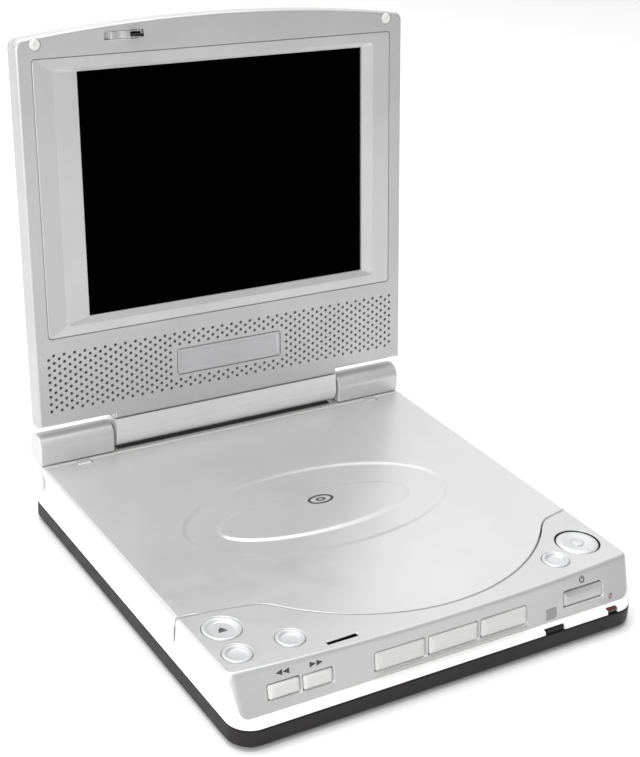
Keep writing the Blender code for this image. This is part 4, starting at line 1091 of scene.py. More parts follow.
def deck_caps():
    """The round deck buttons: a soft dish inside a rounded rim."""
    for name, (x, y, radius) in DECK_BUTTONS.items():
        top = BUTTON_TOP
        foot = 17.2
        edge = 0.55
        stem = radius * 0.4
        flange = DECK_UNDER - THIN_GAP
        profile = [(0, foot), (stem, foot), (stem, flange - 1), (radius + 0.9, flange - 1)]
        profile += [(radius + 0.9, flange), (radius, flange), (radius, top - edge)]
        for rise, run in quarter(4)[1:]:
            profile.append((radius - edge + edge * run, top - edge + edge * rise))
        rim = radius - 0.8
        for k in range(1, 11):
            share = k / 10
            drop = DISH_DROP * (0.5 - 0.5 * math.cos(math.pi * share))
            profile.append((rim * (1 - 0.3 * share), top - drop))
        profile.append((0, top - DISH_DROP - 0.02))
        cap = moved(turned(profile), (x, y, 0))
        piece(f"{name}_cap", cap, CASE_PLACE, name, BUTTON_SILVER, [name])
    top = DECK_TOP + 0.1
    low = NAV_WELL_FLOOR + GAP
    stem = 3.4
    profile = [(0, 16.8), (stem, 16.8), (stem, low), (NAV_PAD_R, low), (NAV_PAD_R, top - 0.6)]
    profile += [(NAV_PAD_R - 0.12, top - 0.45), (NAV_PAD_R - 0.4, top - 0.33), (6.2, top - 0.1), (5.9, top)]
    profile += [(5.2, top), (4.4, top - 0.2), (3.2, top - 0.45), (2.45, top - 0.5), (2.3, top - 0.75)]
    profile += [(2.1, top - 0.75), (1.95, top - 0.35), (1.6, top - 0.25), (0, top - 0.2)]
    pad = moved(turned(profile), (NAV_X, NAV_Y, 0))
    piece("nav_pad_cap", pad, CASE_PLACE, "nav_pad", BUTTON_SILVER, ["nav_pad"])
    for i in range(4):
        turn = Matrix.Rotation(math.radians(90 * i), 4, "Z")
        mark = prism([(-0.6, -0.3), (0.6, -0.3), (0, 0.5)], top - 0.2, top + 0.03)
        mark = moved(moved(mark, (0, 5.5, 0)), (NAV_X, NAV_Y, 0), turn)
        piece(f"nav_mark_{i}", mark, CASE_PLACE, "nav_pad", PALE_INK)


def key_caps():
    """The front keys: pillow-shaped caps with a flange behind the strip."""
    for name, (x0, x1, z0, z1) in FRONT_KEYS.items():
        proud = 0.6
        look = KEY_PEARL
        if name == "power_key":
            x0 += 0.18
            z1 -= 0.32
            proud = 0.15
            # The power key takes the key strip's darker silver, which is painted shade.
            look = STRIP_SILVER_PAINTED_SHADE
        half_width = (x1 - x0) / 2
        half_height = (z1 - z0) / 2
        ridge = half_height - 0.5
        rise = ((ridge, -proud), (ridge * 0.7, -proud + 0.07), (ridge * 0.45, -proud + 0.2))
        rise += ((0.5, -proud + 0.4), (0.2, -proud + 0.62), (0.05, -proud + 0.85), (0.0, -proud + 1.1))
        cap = (-half_width, half_width, -half_height, half_height, 0.8)
        flange = (-half_width, half_width, -half_height - 0.8, half_height + 0.8, 0.8)
        levels = [(grown(*cap, -inset), depth) for inset, depth in rise]
        levels += [(grown(*cap, 0), 2.6), (grown(*flange, 0), 2.6), (grown(*flange, 0), 3.6)]
        cap = on_strip(stand(loft(levels)), (x0 + x1) / 2, (z0 + z1) / 2)
        piece(f"{name}_cap", cap, CASE_PLACE, name, look, [name])


def glyph(name, outlines, x, z):
    """A flat printed mark that follows the curve of the key strip."""
    proud = 0.08
    shapes = []
    for outline in outlines:
        spots = [(x + px, z + pz) for px, pz in divided(outline, 0.8)]
        rings = [[(sx, front_y(sx, sz) + 0.15, sz) for sx, sz in spots]]
        rings.append([(sx, front_y(sx, sz) - proud, sz) for sx, sz in spots])
        shapes.append(skin(rings))
    piece(name, merged(*shapes), CASE_PLACE, "base", GREY_INK)


def marks():
    """Plain transport symbols over the small keys and a power symbol over its key."""
    glyph_z = 19.3
    small = 0.85
    left = [[(0.1, 0), (2.2, -small), (2.2, small)], [(-2.2, 0), (-0.1, -small), (-0.1, small)]]
    right = [[(-x, z) for x, z in outline][::-1] for outline in left]
    glyph("mark_previous", left, -58.7, glyph_z)
    glyph("mark_next", right, -47.6, glyph_z)
    ring = arc(0, 0, 1.15, 130, 410, 20) + arc(0, 0, 0.78, 410, 130, 20)
    stroke = rectangle(-0.19, 0.19, 0.2, 1.35)
    glyph("mark_power", [ring, stroke], 54.3, glyph_z)
    x, y, _ = DECK_BUTTONS["open_button"]
    low = BUTTON_TOP - DISH_DROP - 0.1
    high = BUTTON_TOP - DISH_DROP + 0.1
    arrow = prism([(-1.35, -0.3), (1.35, -0.3), (0, 1.25)], low, high)
    bar = prism(rectangle(-1.35, 1.35, -1.05, -0.6), low, high)
    eject = moved(merged(arrow, bar), (x, y, 0))
    piece("mark_open", eject, CASE_PLACE, "open_button", GREY_INK)


def strip_eye_and_lamp():
    """The remote control's dark window and the small power lamp."""
    half_width = WINDOW_WIDTH / 2
    half_height = WINDOW_HEIGHT / 2
    sizes = (-half_width, half_width, -half_height, half_height, 0.5)
    eye = stepped(sizes, ((-0.25, 0.02), (0, 0.2), (0, 1.8)))
    eye = on_strip(stand(eye), WINDOW_X, WINDOW_Z)
    piece("remote_eye", eye, CASE_PLACE, "base", SMOKED, ["remote_window"])
    profile = [(0, -0.15), (LAMP_R * 0.5, -0.1), (LAMP_R * 0.85, 0.08)]
    profile += [(LAMP_R, 0.3), (LAMP_R, 3.0), (0, 3.0)]
    lamp = on_strip(lay_back(turned(profile, 32)), LAMP_X, LAMP_Z)
    piece("lamp_lens", lamp, CASE_PLACE, "base", LAMP, ["power_lamp"])


def wheel():
    """The volume thumbwheel, its rim knurled and its edges eased."""
    teeth = 44

    def outline(scale):
        points = []
        for i in range(teeth):
            for share, cut in ((0.0, 0.32), (0.2, 0.06), (0.35, 0.0), (0.65, 0.0), (0.8, 0.06)):
                angle = 2 * math.pi * (i + share) / teeth
                radius = WHEEL_R - cut - scale
                points.append((radius * math.cos(angle), radius * math.sin(angle)))
        return points

    levels = [(outline(0.35), WHEEL_LOW), (outline(0.05), WHEEL_LOW + 0.25)]
    levels += [(outline(0.0), WHEEL_LOW + 0.4), (outline(0.0), WHEEL_TOP - 0.4)]
    levels += [(outline(0.05), WHEEL_TOP - 0.25), (outline(0.35), WHEEL_TOP)]
    shape = carved(loft(levels), disc(0, 0, 1.2, 5, 15, 24))
    shape = moved(shape, (WHEEL_X, WHEEL_Y, 0))
    piece("thumbwheel", shape, CASE_PLACE, "volume_wheel", CHARCOAL, ["volume_wheel"])


def jack_sleeves():
    """Bright sleeves in the mouths of the three jacks, with a pin in the power inlet."""
    for name, y in JACKS.items():
        profile = [(1.75, -2.0), (2.5, -2.0), (2.5, -0.75), (2.35, -0.6), (1.95, -0.6), (1.75, -0.8)]
        ring = moved(turned(profile, 40), (HALF, y, JACK_Z), TO_THE_RIGHT)
        look = CHARCOAL if name == "dc_jack" else STEEL_TURNED
        piece(f"{name}_sleeve", ring, CASE_PLACE, "base", look)
    profile = [(0, -9.5), (0.6, -9.5), (0.6, -1.6), (0.45, -1.2), (0, -1.1)]
    pin = moved(turned(profile, 24), (HALF, JACKS["dc_jack"], JACK_Z), TO_THE_RIGHT)
    piece("inlet_pin", pin, CASE_PLACE, "base", STEEL_TURNED)


# ---------------------------------------------------------------- the disc door

BASIN_X = -1.0
BASIN_Y = 81.0
BASIN_HALF_X = 50.5
BASIN_HALF_Y = 25.5
BASIN_DEPTH = 0.45
BASIN_RIM = 1.3
ISLAND_X = -3.4
ISLAND_Y = 79.6
ISLAND_HALF_X = 37.0
ISLAND_HALF_Y = 13.2
ISLAND_RIM = 1.1
MARK_X = 1.8
MARK_Y = 85.0


def door_relief():
    """The cutter of the shallow oval basin in the door, whose middle rises again as an oval island."""
    rings = []
    rim = [(0.5 - 0.5 * math.cos(math.pi * i / 8)) for i in range(9)]
    for px, py in circle(0, 0, 1.0, 192):
        outer = Vector((BASIN_X + BASIN_HALF_X * px, BASIN_Y + BASIN_HALF_Y * py))
        out = Vector((px / BASIN_HALF_X, py / BASIN_HALF_Y)).normalized()
        inner = Vector((ISLAND_X + ISLAND_HALF_X * px, ISLAND_Y + ISLAND_HALF_Y * py))
        lean = Vector((px / ISLAND_HALF_X, py / ISLAND_HALF_Y)).normalized()
        section = [(outer + out * BASIN_RIM, 1.0)]
        for i, share in enumerate(rim):
            section.append((outer + out * BASIN_RIM * (1 - i / 4), -BASIN_DEPTH * share))
        for i, share in enumerate(rim[::-1]):
            section.append((inner + lean * ISLAND_RIM * (1 - i / 4), -BASIN_DEPTH * share))
        section.append((inner - lean * ISLAND_RIM, 1.0))
        rings.append([(spot.x, spot.y, DECK_TOP + height) for spot, height in section])
    return hoop(rings)


def disc_mark():
    """A plain printed disc symbol in the dish: a ring with a hub."""
    outlines = (((5.0, 2.9), (3.9, 2.05)), ((1.9, 1.15), (0.9, 0.5)))
    for i, (outer, inner) in enumerate(outlines):
        rings = []
        for px, py in circle(0, 0, 1.0, 64):
            spots = [(outer[0] * px, outer[1] * py), (inner[0] * px, inner[1] * py)]
            low = [(MARK_X + x, MARK_Y + y, DECK_TOP - 0.15) for x, y in spots]
            high = [(MARK_X + x, MARK_Y + y, DECK_TOP + 0.02) for x, y in spots]
            rings.append([low[0], high[0], high[1], low[1]])
        piece(f"mark_disc_{i}", hoop(rings), CASE_PLACE, "disc_door", GREY_INK)


def door_panel():
    """The disc door: a lid with side skirts, a hinge roll with two notches, and an oval relief."""
    levels = [(under_door(0, HALF, DOOR_PIVOT_Y), DOOR_SKIRT_FOOT)]
    for rise, run in quarter(6):
        side = EDGE_ROUND * (1 - run)
        z = DECK_TOP - EDGE_ROUND + EDGE_ROUND * rise
        front = -0.2 * (1 - run)
        levels.append((under_door(front, HALF - side, DOOR_PIVOT_Y), z))
    shape = loft(levels)
    inside = prism(under_door(-DOOR_WALL, HALF - DOOR_WALL, 150), 10, DECK_TOP - DOOR_THICK)
    front = box(-HALF - 4, HALF + 4, -5, DOOR_SKIRT_FRONT, 10, DOOR_LIP_FOOT)
    within = box(-HALF + DOOR_WALL, HALF - DOOR_WALL, -5, DOOR_FRONT_CLEAR, 10, DOOR_LIP_FOOT)
    rear = box(-HALF - 4, HALF + 4, 143.9, 150, 10, DOOR_LIP_FOOT + 0.4)
    shape = carved(shape, inside, front, within, rear)
    roll = along_x(-HALF + 0.3, HALF - 0.3, DOOR_PIVOT_Y, DOOR_PIVOT_Z, DOOR_ROLL_R, 40)
    shape = joined(shape, roll)
    notches = []
    stubs = []
    for side in (-1, 1):
        x0 = side * LUG_X - LUG_WIDTH / 2 - GAP
        x1 = side * LUG_X + LUG_WIDTH / 2 + GAP
        notches.append(box(x0, x1, DOOR_PIVOT_Y - 1.75, DOOR_PIVOT_Y + 4, 18, 24))
        stubs.append(along_x(x0 - 1.0, x0 + 1.6, DOOR_PIVOT_Y, DOOR_PIVOT_Z, 0.65, 24))
        stubs.append(along_x(x1 - 1.6, x1 + 1.0, DOOR_PIVOT_Y, DOOR_PIVOT_Z, 0.65, 24))
    shape = carved(shape, merged(*notches))
    shape = joined(shape, merged(*stubs))
    shape = carved(shape, door_relief())
    clamp = [(9.0, 0.2), (9.0, -0.32), (9.4, -0.36), (13.6, -0.36), (14.0, -0.32), (14.0, 0.2)]
    pad = moved(turned(clamp), (0, HUB_Y, DECK_TOP - DOOR_THICK))
    shape = joined(shape, pad)

    def choose(spot, normal):
        return 1 if abs(normal.x) > 0.8 and abs(spot.x) > HALF - EDGE_ROUND else 0

    looks = [DOOR_SILVER, CASING_WHITE]
    piece("door_panel", shape, CASE_PLACE, "disc_door", looks, ["disc_door"], choose)
    disc_mark()


# ---------------------------------------------------------------- inside the disc well


def well():
    """The deck round the disc. Its slot for the pickup doesn't come out: the floor stays closed."""
    side = HALF - WALL - GAP
    thin = 1.3
    shape = prism(under_door(-THIN_GAP, side, WELL_REAR), WELL_FOOT, WELL_RIM)
    inside = under_door(-THIN_GAP - thin, side - thin, WELL_REAR - thin)
    inner = prism(inside, WELL_FOOT - 2, WELL_RIM - 1.4)
    pocket = carved(inner, disc(0, HUB_Y, WELL_R + 1.5, WELL_FLOOR - 1.5, WELL_RIM + 1, 96))
    profile = [(0, WELL_FLOOR), (WELL_R - 2.4, WELL_FLOOR), (WELL_R - 1.2, WELL_FLOOR + 0.3)]
    profile += [(WELL_R - 0.4, WELL_FLOOR + 1.1), (WELL_R, WELL_FLOOR + 2.2), (WELL_R, WELL_RIM - 0.7)]
    profile += [(WELL_R + 0.25, WELL_RIM - 0.2), (WELL_R + 0.8, WELL_RIM)]
    profile += [(WELL_R + 0.8, WELL_RIM + 2), (0, WELL_RIM + 2)]
    bowl = moved(turned(profile, 128), (0, HUB_Y, 0))
    shape = carved(shape, pocket, bowl)
    bead = [(20.0, 14.0), (24.0, 14.0), (24.0, 15.25), (23.6, 15.4), (20.4, 15.4), (20.0, 15.25)]
    shape = joined(shape, moved(turned(bead), (0, HUB_Y, 0)))
    shape = carved(
        shape,
        hole(0, HUB_Y, HUB_HOLE_R, 10, WELL_FLOOR, 0.5),
        window(*PICKUP_SLOT, 10, WELL_FLOOR, 0.4),
    )
    screw_spots = ((-68, 128), (68, 128), (-68, 54), (68, 54))
    screws = [hole(x, y, 1.9, 16.2, WELL_RIM, 0.3, 24) for x, y in screw_spots]
    shape = carved(shape, merged(*screws))
    piece("well_deck", shape, CASE_PLACE, "base", WELL_BLACK, ["disc_well_deck"])


def hub():
    """The turntable with its clamp and the three sprung balls that hold a disc."""
    profile = [(0, 16.2), (1.35, 16.2), (1.35, 13.3), (3.4, 13.3), (3.4, 15.3), (13.6, 15.3), (14.0, 15.6)]
    profile += [(14.0, 16.6), (13.7, 16.88), (13.2, 16.9), (12.9, 16.72), (8.4, 16.72), (8.1, 16.9)]
    profile += [(7.35, 16.9), (7.3, 17.1), (7.3, 18.3), (7.1, 18.75), (6.6, 19.15), (6.0, 19.3), (3.0, 19.3)]
    profile += [(2.7, 18.9), (0, 18.9)]
    shape = turned(profile, 72)
    thirds = [Matrix.Rotation(math.radians(120 * i), 4, "Z") for i in range(3)]
    slots = [moved(box(5.2, 8.4, -1.5, 1.5, 17.2, 20), turn=third) for third in thirds]
    shape = moved(carved(shape, merged(*slots)), (0, HUB_Y, 0))
    piece("clamp_hub", shape, CASE_PLACE, "turntable", HUB_BLACK, ["turntable_hub"])
    ball = [(0, -1.15), (0.6, -1.0), (1.0, -0.55), (1.15, 0), (1.0, 0.55), (0.6, 1.0), (0, 1.15)]
    for i, third in enumerate(thirds):
        shape = moved(moved(turned(ball, 24), (6.35, 0, 18.1)), (0, HUB_Y, 0), third)
        piece(f"hub_ball_{i}", shape, CASE_PLACE, "turntable", STEEL_TURNED)


def lens_unit():
    """The pickup's lens in its sprung holder, on the sled."""
    spot = (0, SLED_Y, 0)
    profile = [(0, 14.2), (2.6, 14.2), (2.6, 14.55), (2.35, 14.7)]
    profile += [(1.95, 14.72), (1.8, 14.85), (1.3, 15.02), (0, 15.1)]
    lens = moved(turned(profile, 48), spot)
    piece("objective_lens", lens, CASE_PLACE, "pickup", LENS, ["pickup_lens"])
    holder = stepped((-6.2, 6.2, -8.2, 8.2, 1.2), ((0, 12.5), (0, 13.4), (-0.3, 13.7)))
    holder = carved(holder, prism(rectangle(-4.7, 4.7, -6.6, 6.6, 0.8), 11, 15))
    piece("lens_holder", moved(holder, spot), CASE_PLACE, "pickup", CHARCOAL)
    for side, name in ((-1, "magnet_front"), (1, "magnet_rear")):
        magnet = stepped((-3.0, 3.0, -0.8, 0.8, 0.2), ((0, 12.5), (0, 13.9), (-0.15, 14.1)))
        magnet = moved(magnet, (0, SLED_Y + side * 5.6, 0))
        piece(name, magnet, CASE_PLACE, "pickup", STEEL)


# ---------------------------------------------------------------- the screen

LCD_X = 2.3
LCD_HALF_WIDTH = 56.7
LCD_LOW = FACE_ZERO + 35.3
LCD_HIGH = FACE_ZERO + 121.0
BEZEL_HALF = 70.8
BEZEL_LOW = FACE_ZERO + 29.4
BEZEL_HIGH = FACE_ZERO + 126.3
SLOPE_HALF = 63.6
SLOPE_LOW = FACE_ZERO + 33.0
SLOPE_HIGH = FACE_ZERO + 122.6
BUMPER_X = 69.2
BUMPER_Z = FACE_ZERO + 131.0
BUMPER_R = 2.0
PLATE_HALF = 21.5
PLATE_LOW = FACE_ZERO + 7.85
PLATE_HIGH = FACE_ZERO + 17.35
LATCH_Z = HINGE_Y - 9.4
LATCH_LEFT = -44.4
LATCH_RIGHT = -29.8
LATCH_HALF = 1.3
GRILLE_HALF = 71.3
GRILLE_LOW = FACE_ZERO + 2.5
GRILLE_HIGH = FACE_ZERO + 25.2
HOLE_ACROSS = 1.95
HOLE_UP = 2.72
HOLE_R = 0.6


def grille_holes():
    """All the speaker holes as one cutter: columns whose rows alternate by half a step."""
    holes = []
    columns = int(2 * GRILLE_HALF / HOLE_ACROSS)
    start = -columns * HOLE_ACROSS / 2
    for column in range(columns + 1):
        x = start + column * HOLE_ACROSS
        z = GRILLE_LOW + HOLE_R + (column % 2) * HOLE_UP / 2
        while z <= GRILLE_HIGH - HOLE_R:
            clear_x = abs(x) > PLATE_HALF + 1.1
            clear_z = z < PLATE_LOW - 1.1 or z > PLATE_HIGH + 1.1
            if clear_x or clear_z:
                holes.append(along_y(x, -7.0, -2.0, z, HOLE_R, 10))
            z += HOLE_UP
    return merged(*holes)


def screen_face():
    """The screen's front frame with its openings and the speaker grille."""
    edge = ((1.1, 0), (0.68, 0.08), (0.32, 0.32), (0.08, 0.68), (0.0, 1.1))
    levels = [(screen_outline(inset), SCREEN_FRONT + depth) for inset, depth in edge]
    levels.append((screen_outline(0.0), SCREEN_PARTING - THIN_GAP - 0.2))
    levels.append((screen_outline(0.2), SCREEN_PARTING - THIN_GAP))
    shape = stand(loft(levels))
    hollow = plate(screen_outline(WALL, 1.6), SCREEN_FRONT + WALL, 3)
    flare = 0.16
    bezel = (-BEZEL_HALF, BEZEL_HALF, BEZEL_LOW, BEZEL_HIGH, 1.2)
    mouth = ((flare, -9), (flare, SCREEN_FRONT), (flare * 0.3, SCREEN_FRONT + flare * 0.3))
    mouth += ((0, SCREEN_FRONT + flare), (0, 3))
    opening = stand(stepped(bezel, mouth))
    reach = LATCH_HALF + 0.14
    latch = (LATCH_LEFT, LATCH_RIGHT, LATCH_Z - reach, LATCH_Z + reach, 0.4)
    mouth = ((0.12, -9), (0.12, SCREEN_FRONT), (0, SCREEN_FRONT + 0.12), (0, 0))
    latch = stand(stepped(latch, mouth))
    pocket = plate(grown(-PLATE_HALF, PLATE_HALF, PLATE_LOW, PLATE_HIGH, 0.8, 0.28), -9, SCREEN_FRONT + 0.9)
    shape = carved(shape, hollow, opening)
    sockets = []
    for side in (-1, 1):
        sockets.append(along_y(side * BUMPER_X, -9, SCREEN_FRONT + 1.1, BUMPER_Z, BUMPER_R + 0.1, 32))
    shape = carved(shape, merged(latch, pocket, *sockets))
    shape = carved(shape, grille_holes())
    node = "screen_front_frame"
    piece("screen_face", shape, SCREEN_PLACE, "screen", SCREEN_SILVER, [node])
    behind = SCREEN_FRONT + WALL
    cloth = plate(rectangle(-72.5, 72.5, 12.2, 38.0, 1.0), behind + 0.06, behind + 0.2)
    piece("grille_cloth", cloth, SCREEN_PLACE, "screen", CLOTH_BLACK)


def screen_rear():
    """The screen's back shell with the middle barrel of its hinge."""

    def back(inset, corner=SCREEN_CORNER):
        return screen_outline(inset, corner, split=False)

    curve = ((0.2, 0.0), (0.0, 0.2), (0.0, 2.7), (0.12, 3.2), (0.45, 3.75), (1.1, 4.25), (2.1, 4.67))
    curve += ((4.0, 5.45), (5.8, 6.15), (7.0, 6.6), (8.0, 6.88), (9.2, 7.0))
    levels = []
    for inset, rise in curve:
        corner = SCREEN_CORNER + inset * 0.4
        levels.append((back(inset, corner), SCREEN_PARTING + rise))
    shape = stand(loft(levels))
    levels = [(back(WALL, 1.6), SCREEN_PARTING - 2), (back(WALL, 1.6), 1.4)]
    levels += [(back(3.4, 2.0), 2.2), (back(9.2, 5.0), SCREEN_BACK - WALL)]
    shape = carved(shape, stand(loft(levels)))
    eased = ((0.35, 0), (0.1, 0.1), (0, 0.35))
    levels = [(circle(0, 0, BARREL_R - drop, 64), BARREL_LEFT + along) for drop, along in eased]
    eased = eased[::-1]
    levels += [(circle(0, 0, BARREL_R - drop, 64), BARREL_RIGHT - along) for drop, along in eased]
    barrel = side_on(loft(levels))
    neck = box(BARREL_LEFT + 0.1, BARREL_RIGHT - 0.1, -4.9, 4.6, 0.2, SCREEN_STEP - THIN_GAP)
    web = box(BARREL_LEFT + 0.4, BARREL_RIGHT - 0.4, SCREEN_PARTING, 4.2, 4.0, SCREEN_FOOT + 1.2)
    shape = joined(shape, barrel, neck, web)
    bore = along_x(BARREL_LEFT - 2, BARREL_RIGHT + 2, 0, 0, SHAFT_R + THIN_GAP, 32)
    shape = carved(shape, bore, back_groove())

    def choose(spot, normal):
        return 1 if spot.z < SCREEN_STEP - THIN_GAP + 0.05 else 0

    looks = [SCREEN_SILVER, BARREL_SILVER]
    piece("screen_rear", shape, SCREEN_PLACE, "screen", looks, ["screen_back_shell"], choose)


def back_groove():
    """A fine line round the middle of the screen's back."""
    outer = grown(-46, 46, 46, 112, 9, 0)
    inner = grown(-46, 46, 46, 112, 9, -0.5)
    depth = SCREEN_BACK - 0.25
    rings = []
    for (xa, za), (xb, zb) in zip(outer, inner):
        rings.append([(xa, 8.0, za), (xb, 8.0, zb), (xb, depth, zb), (xa, depth, za)])
    return hoop(rings)


def picture_bezel():
    """The frame round the picture, whose inner part slopes back to the panel and is painted a lighter silver
    as a painted highlight.
    """
    clear = 0.14
    front = SCREEN_FRONT + 0.05
    levels = []
    for inset, corner, depth in ((0.3, 0.9, 0), (0.08, 1.1, 0.1), (0, 1.2, 0.35), (0, 1.2, 2.15)):
        half = BEZEL_HALF - clear - inset
        low = BEZEL_LOW + clear + inset
        high = BEZEL_HIGH - clear - inset
        levels.append((rectangle(-half, half, low, high, corner, 6), front + depth))
    shape = stand(loft(levels))

    def blend(share):
        """An opening part of the way from the edge of the slope to the edge of the picture."""
        x = LCD_X * share
        half = SLOPE_HALF + (LCD_HALF_WIDTH - SLOPE_HALF) * share
        low = SLOPE_LOW + (LCD_LOW - SLOPE_LOW) * share
        high = SLOPE_HIGH + (LCD_HIGH - SLOPE_HIGH) * share
        return rectangle(x - half, x + half, low, high, 1.6 - 1.5 * share, 6)

    slope = ((0.0, -1.0), (0.0, 0.0), (0.05, 0.03), (0.12, 0.12))
    slope += ((0.93, 1.15), (0.99, 1.3), (1.0, 1.8), (1.0, 4.0))
    opening = stand(loft([(blend(share), front + depth) for share, depth in slope]))
    shape = carved(shape, opening)

    def choose(spot, normal):
        # Faces on the slope take the lighter silver: a painted highlight.
        return 1 if abs(spot.x) < SLOPE_HALF and SLOPE_LOW < spot.z < SLOPE_HIGH else 0

    looks = [SCREEN_SILVER, SLOPE_SILVER_PAINTED_LIGHT]
    piece("picture_bezel", shape, SCREEN_PLACE, "screen", looks, ["lcd_bezel"], choose, 24)


def screen_details():
    """The blank name plate with its sunk middle, and the two soft pads at the screen's head."""
    edges = (-PLATE_HALF, PLATE_HALF, PLATE_LOW, PLATE_HIGH)
    steps = ((-0.3, SCREEN_FRONT - 0.05), (-0.06, SCREEN_FRONT + 0.05))
    steps += ((0, SCREEN_FRONT + 0.25), (0, SCREEN_FRONT + 0.6))
    shape = stand(stepped((*edges, 0.6), steps))
    steps = ((-1.1, -9), (-1.1, SCREEN_FRONT - 0.05), (-1.3, SCREEN_FRONT + 0.12))
    shape = carved(shape, stand(stepped((*edges, 0.8), steps)))
    piece("blank_plate", shape, SCREEN_PLACE, "screen", PLATE_SILVER, ["name_plate"])
    profile = [(0, -0.36), (0.8, -0.34), (1.4, -0.26), (1.8, -0.08)]
    profile += [(BUMPER_R, 0.2), (BUMPER_R, 0.8), (0, 0.8)]
    for side, name in ((-1, "left"), (1, "right")):
        pad = moved(lay_back(turned(profile, 40)), (side * BUMPER_X, SCREEN_FRONT, BUMPER_Z))
        piece(f"pad_{name}", pad, SCREEN_PLACE, "screen", RUBBER_PALE, [f"bumper_{name}"])


def latch_slider():
    """The thumb slide in the frame, with a soft finger dish, a notch whose inside is painted black as shade,
    and the hook in it.
    """
    face = -4.85
    base = [(-45.9, -2.1), (-45.9, -3.6), (-42.0, -3.6), (-42.0, face + 0.25), (-41.75, face)]
    for i in range(11):
        share = i / 10
        base.append((-41.5 + 5.2 * share, face + 0.5 * math.sin(math.pi * share) ** 2))
    base += [(-30.55, face), (-30.3, face + 0.25), (-30.3, -3.05), (-28.4, -3.05), (-28.4, -2.1)]
    shape = moved(prism(base, -LATCH_HALF, LATCH_HALF), (0, 0, LATCH_Z))
    notch = plate(rectangle(-34.8, -30.9, LATCH_Z - 0.85, LATCH_Z + 0.85, 0.3), -6, -3.2)
    shape = carved(shape, notch)

    def choose(spot, normal):
        # The notch's inside takes the black: painted shade in the recess.
        inside = -34.9 < spot.x < -30.8 and abs(spot.z - LATCH_Z) < 0.9 and spot.y < -3.1
        return 1 if inside and spot.y > face + 0.1 else 0

    looks = [SCREEN_SILVER, BLACK_TRIM_AND_PAINTED_SHADE]
    piece("latch_slide", shape, SCREEN_PLACE, "latch", looks, ["latch_hook"], choose)
    side = LATCH_HALF - 0.9
    tip = [(-34.6, -3.0), (-34.6, -7.9), (-34.45, -8.2), (-34.1, -8.4), (-31.7, -8.4)]
    tip += [(-31.35, -8.2), (-31.2, -7.9), (-31.2, -7.3), (-31.9, -6.9), (-32.0, -6.4), (-32.0, -3.0)]
    shape = moved(prism(tip, -side, side), (0, 0, LATCH_Z - 0.1))
    piece("latch_tip", shape, SCREEN_PLACE, "latch", BLACK_TRIM_AND_PAINTED_SHADE)


# ---------------------------------------------------------------- looks of the carried-over nodes

CARRIED_NODES = (
    (STEEL, ("drive_chassis", "spindle_motor", "guide_rod_left", "guide_rod_right")),
    (STEEL, ("sled_motor", "lead_screw", "hinge_shaft_left", "hinge_shaft_right")),
    (RUBBER_BLACK, ("damper_front", "damper_rear_left", "damper_rear_right")),
    (BOARD, ("main_board", "key_board", "lcd_driver_board")),
    (WRAP, ("battery_pack",)),
    (CHARCOAL, ("headphone_jack", "av_jack", "dc_jack", "pickup_sled")),
    (WELL_BLACK, ("speaker_left", "speaker_right")),
    (PANEL_BLACK, ("lcd_panel",)),
    (RUBBER_PALE, ("lcd_backlight",)),
)


def dress_nodes():
    """Gives the CAD nodes that stay visible their looks."""
    for look, nodes in CARRIED_NODES:
        for node in nodes:
            materials = frame["nodes"][node].data.materials
            for i in range(len(materials)):
                materials[i] = look


# ---------------------------------------------------------------- floor, light and camera


def floor():
    """A pale floor that belongs to the picture, not to the object."""
    look = Look("pale_floor")
    patches = look.ranged(look.noise(3.0), 0, 1)
    look.drive("Base Color", look.mixed(patches, (0.79, 0.79, 0.79), (0.82, 0.82, 0.82)))
    look.drive("Roughness", look.ranged(look.noise(12.0), 0.75, 0.85))
    look.set("Specular IOR Level", 0.1)
    mesh = bpy.data.meshes.new("floor")
    shape = bmesh.new()
    bmesh.ops.create_grid(shape, x_segments=1, y_segments=1, size=6.0)
    shape.to_mesh(mesh)
    shape.free()
    mesh.materials.append(look.material)
    item = bpy.data.objects.new("floor", mesh)
    bpy.context.scene.collection.objects.link(item)


def softbox(name, place, aim, size, power):
    data = bpy.data.lights.new(name, "AREA")
    data.shape = "RECTANGLE"
    data.size, data.size_y = size
    data.energy = power
    item = bpy.data.objects.new(name, data)
    bpy.context.scene.collection.objects.link(item)
    item.location = place
    item.rotation_euler = (Vector(aim) - Vector(place)).to_track_quat("-Z", "Y").to_euler()


DARK_SIDE = (0.76, -0.64, 0.1)
SKY_BRIGHT = 0.95
SKY_DARK = 0.12


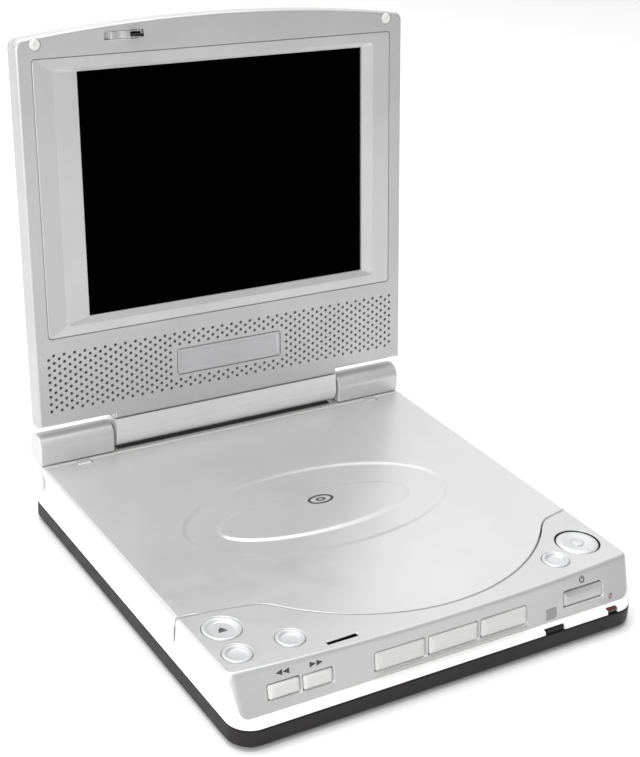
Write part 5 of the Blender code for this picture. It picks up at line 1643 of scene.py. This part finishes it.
def studio():
    """A soft box on the left, another overhead, and a sky that grows darker on one side."""
    softbox("left_box", (-0.55, -0.5, 0.32), (-0.02, -0.05, 0.02), (0.5, 0.4), 2.4)
    softbox("top_box", (-0.1, 0.2, 1.3), (0, 0, 0.0), (1.2, 1.2), 16.0)
    world = bpy.data.worlds.new("studio")
    bpy.context.scene.world = world
    world.use_nodes = True
    tree = world.node_tree
    sky = tree.nodes["Background"]
    sky.inputs["Strength"].default_value = 1.0
    spot = tree.nodes.new("ShaderNodeTexCoord")
    facing = tree.nodes.new("ShaderNodeVectorMath")
    facing.operation = "DOT_PRODUCT"
    facing.inputs[1].default_value = DARK_SIDE
    tree.links.new(spot.outputs["Generated"], facing.inputs[0])
    spread = tree.nodes.new("ShaderNodeMapRange")
    spread.interpolation_type = "SMOOTHSTEP"
    spread.inputs["From Min"].default_value = 0.15
    spread.inputs["From Max"].default_value = 1.0
    spread.inputs["To Min"].default_value = SKY_BRIGHT
    spread.inputs["To Max"].default_value = SKY_DARK
    tree.links.new(facing.outputs["Value"], spread.inputs["Value"])
    tree.links.new(spread.outputs["Result"], sky.inputs["Color"])
    bpy.context.scene.view_settings.view_transform = "Standard"


CAMERA_AIM = (0.50022843, 0.76936724, -0.39729784)
CAMERA_ROLL_DEG = 3.6006
CAMERA_FROM_CASE = (-260.28, -319.47, 292.63)
CAMERA_LENS = 74.97
CAMERA_SHIFT_X = -0.0171
CAMERA_SHIFT_Y = -0.0558


def camera():
    """The camera fitted to the photo's edges, placed from the base's own frame."""
    data = bpy.data.cameras.new("camera")
    data.sensor_width = 36.0
    data.lens = CAMERA_LENS
    data.shift_x = CAMERA_SHIFT_X
    data.shift_y = CAMERA_SHIFT_Y
    data.clip_start = 0.01
    item = bpy.data.objects.new("camera", data)
    bpy.context.scene.collection.objects.link(item)
    turn = Vector(CAMERA_AIM).to_track_quat("-Z", "Y").to_matrix().to_4x4()
    roll = Matrix.Rotation(math.radians(CAMERA_ROLL_DEG), 4, "Z")
    spot = CASE_PLACE @ Vector([value * MM for value in CAMERA_FROM_CASE])
    item.matrix_world = Matrix.Translation(spot) @ turn @ roll
    bpy.context.scene.camera = item


base_shell()
rim_inserts()
base_tray()
hinge_caps()
feet_and_screws()
deck_caps()
key_caps()
marks()
strip_eye_and_lamp()
wheel()
jack_sleeves()
door_panel()
well()
hub()
lens_unit()
screen_face()
screen_rear()
picture_bezel()
screen_details()
latch_slider()
dress_nodes()
floor()
studio()
camera()
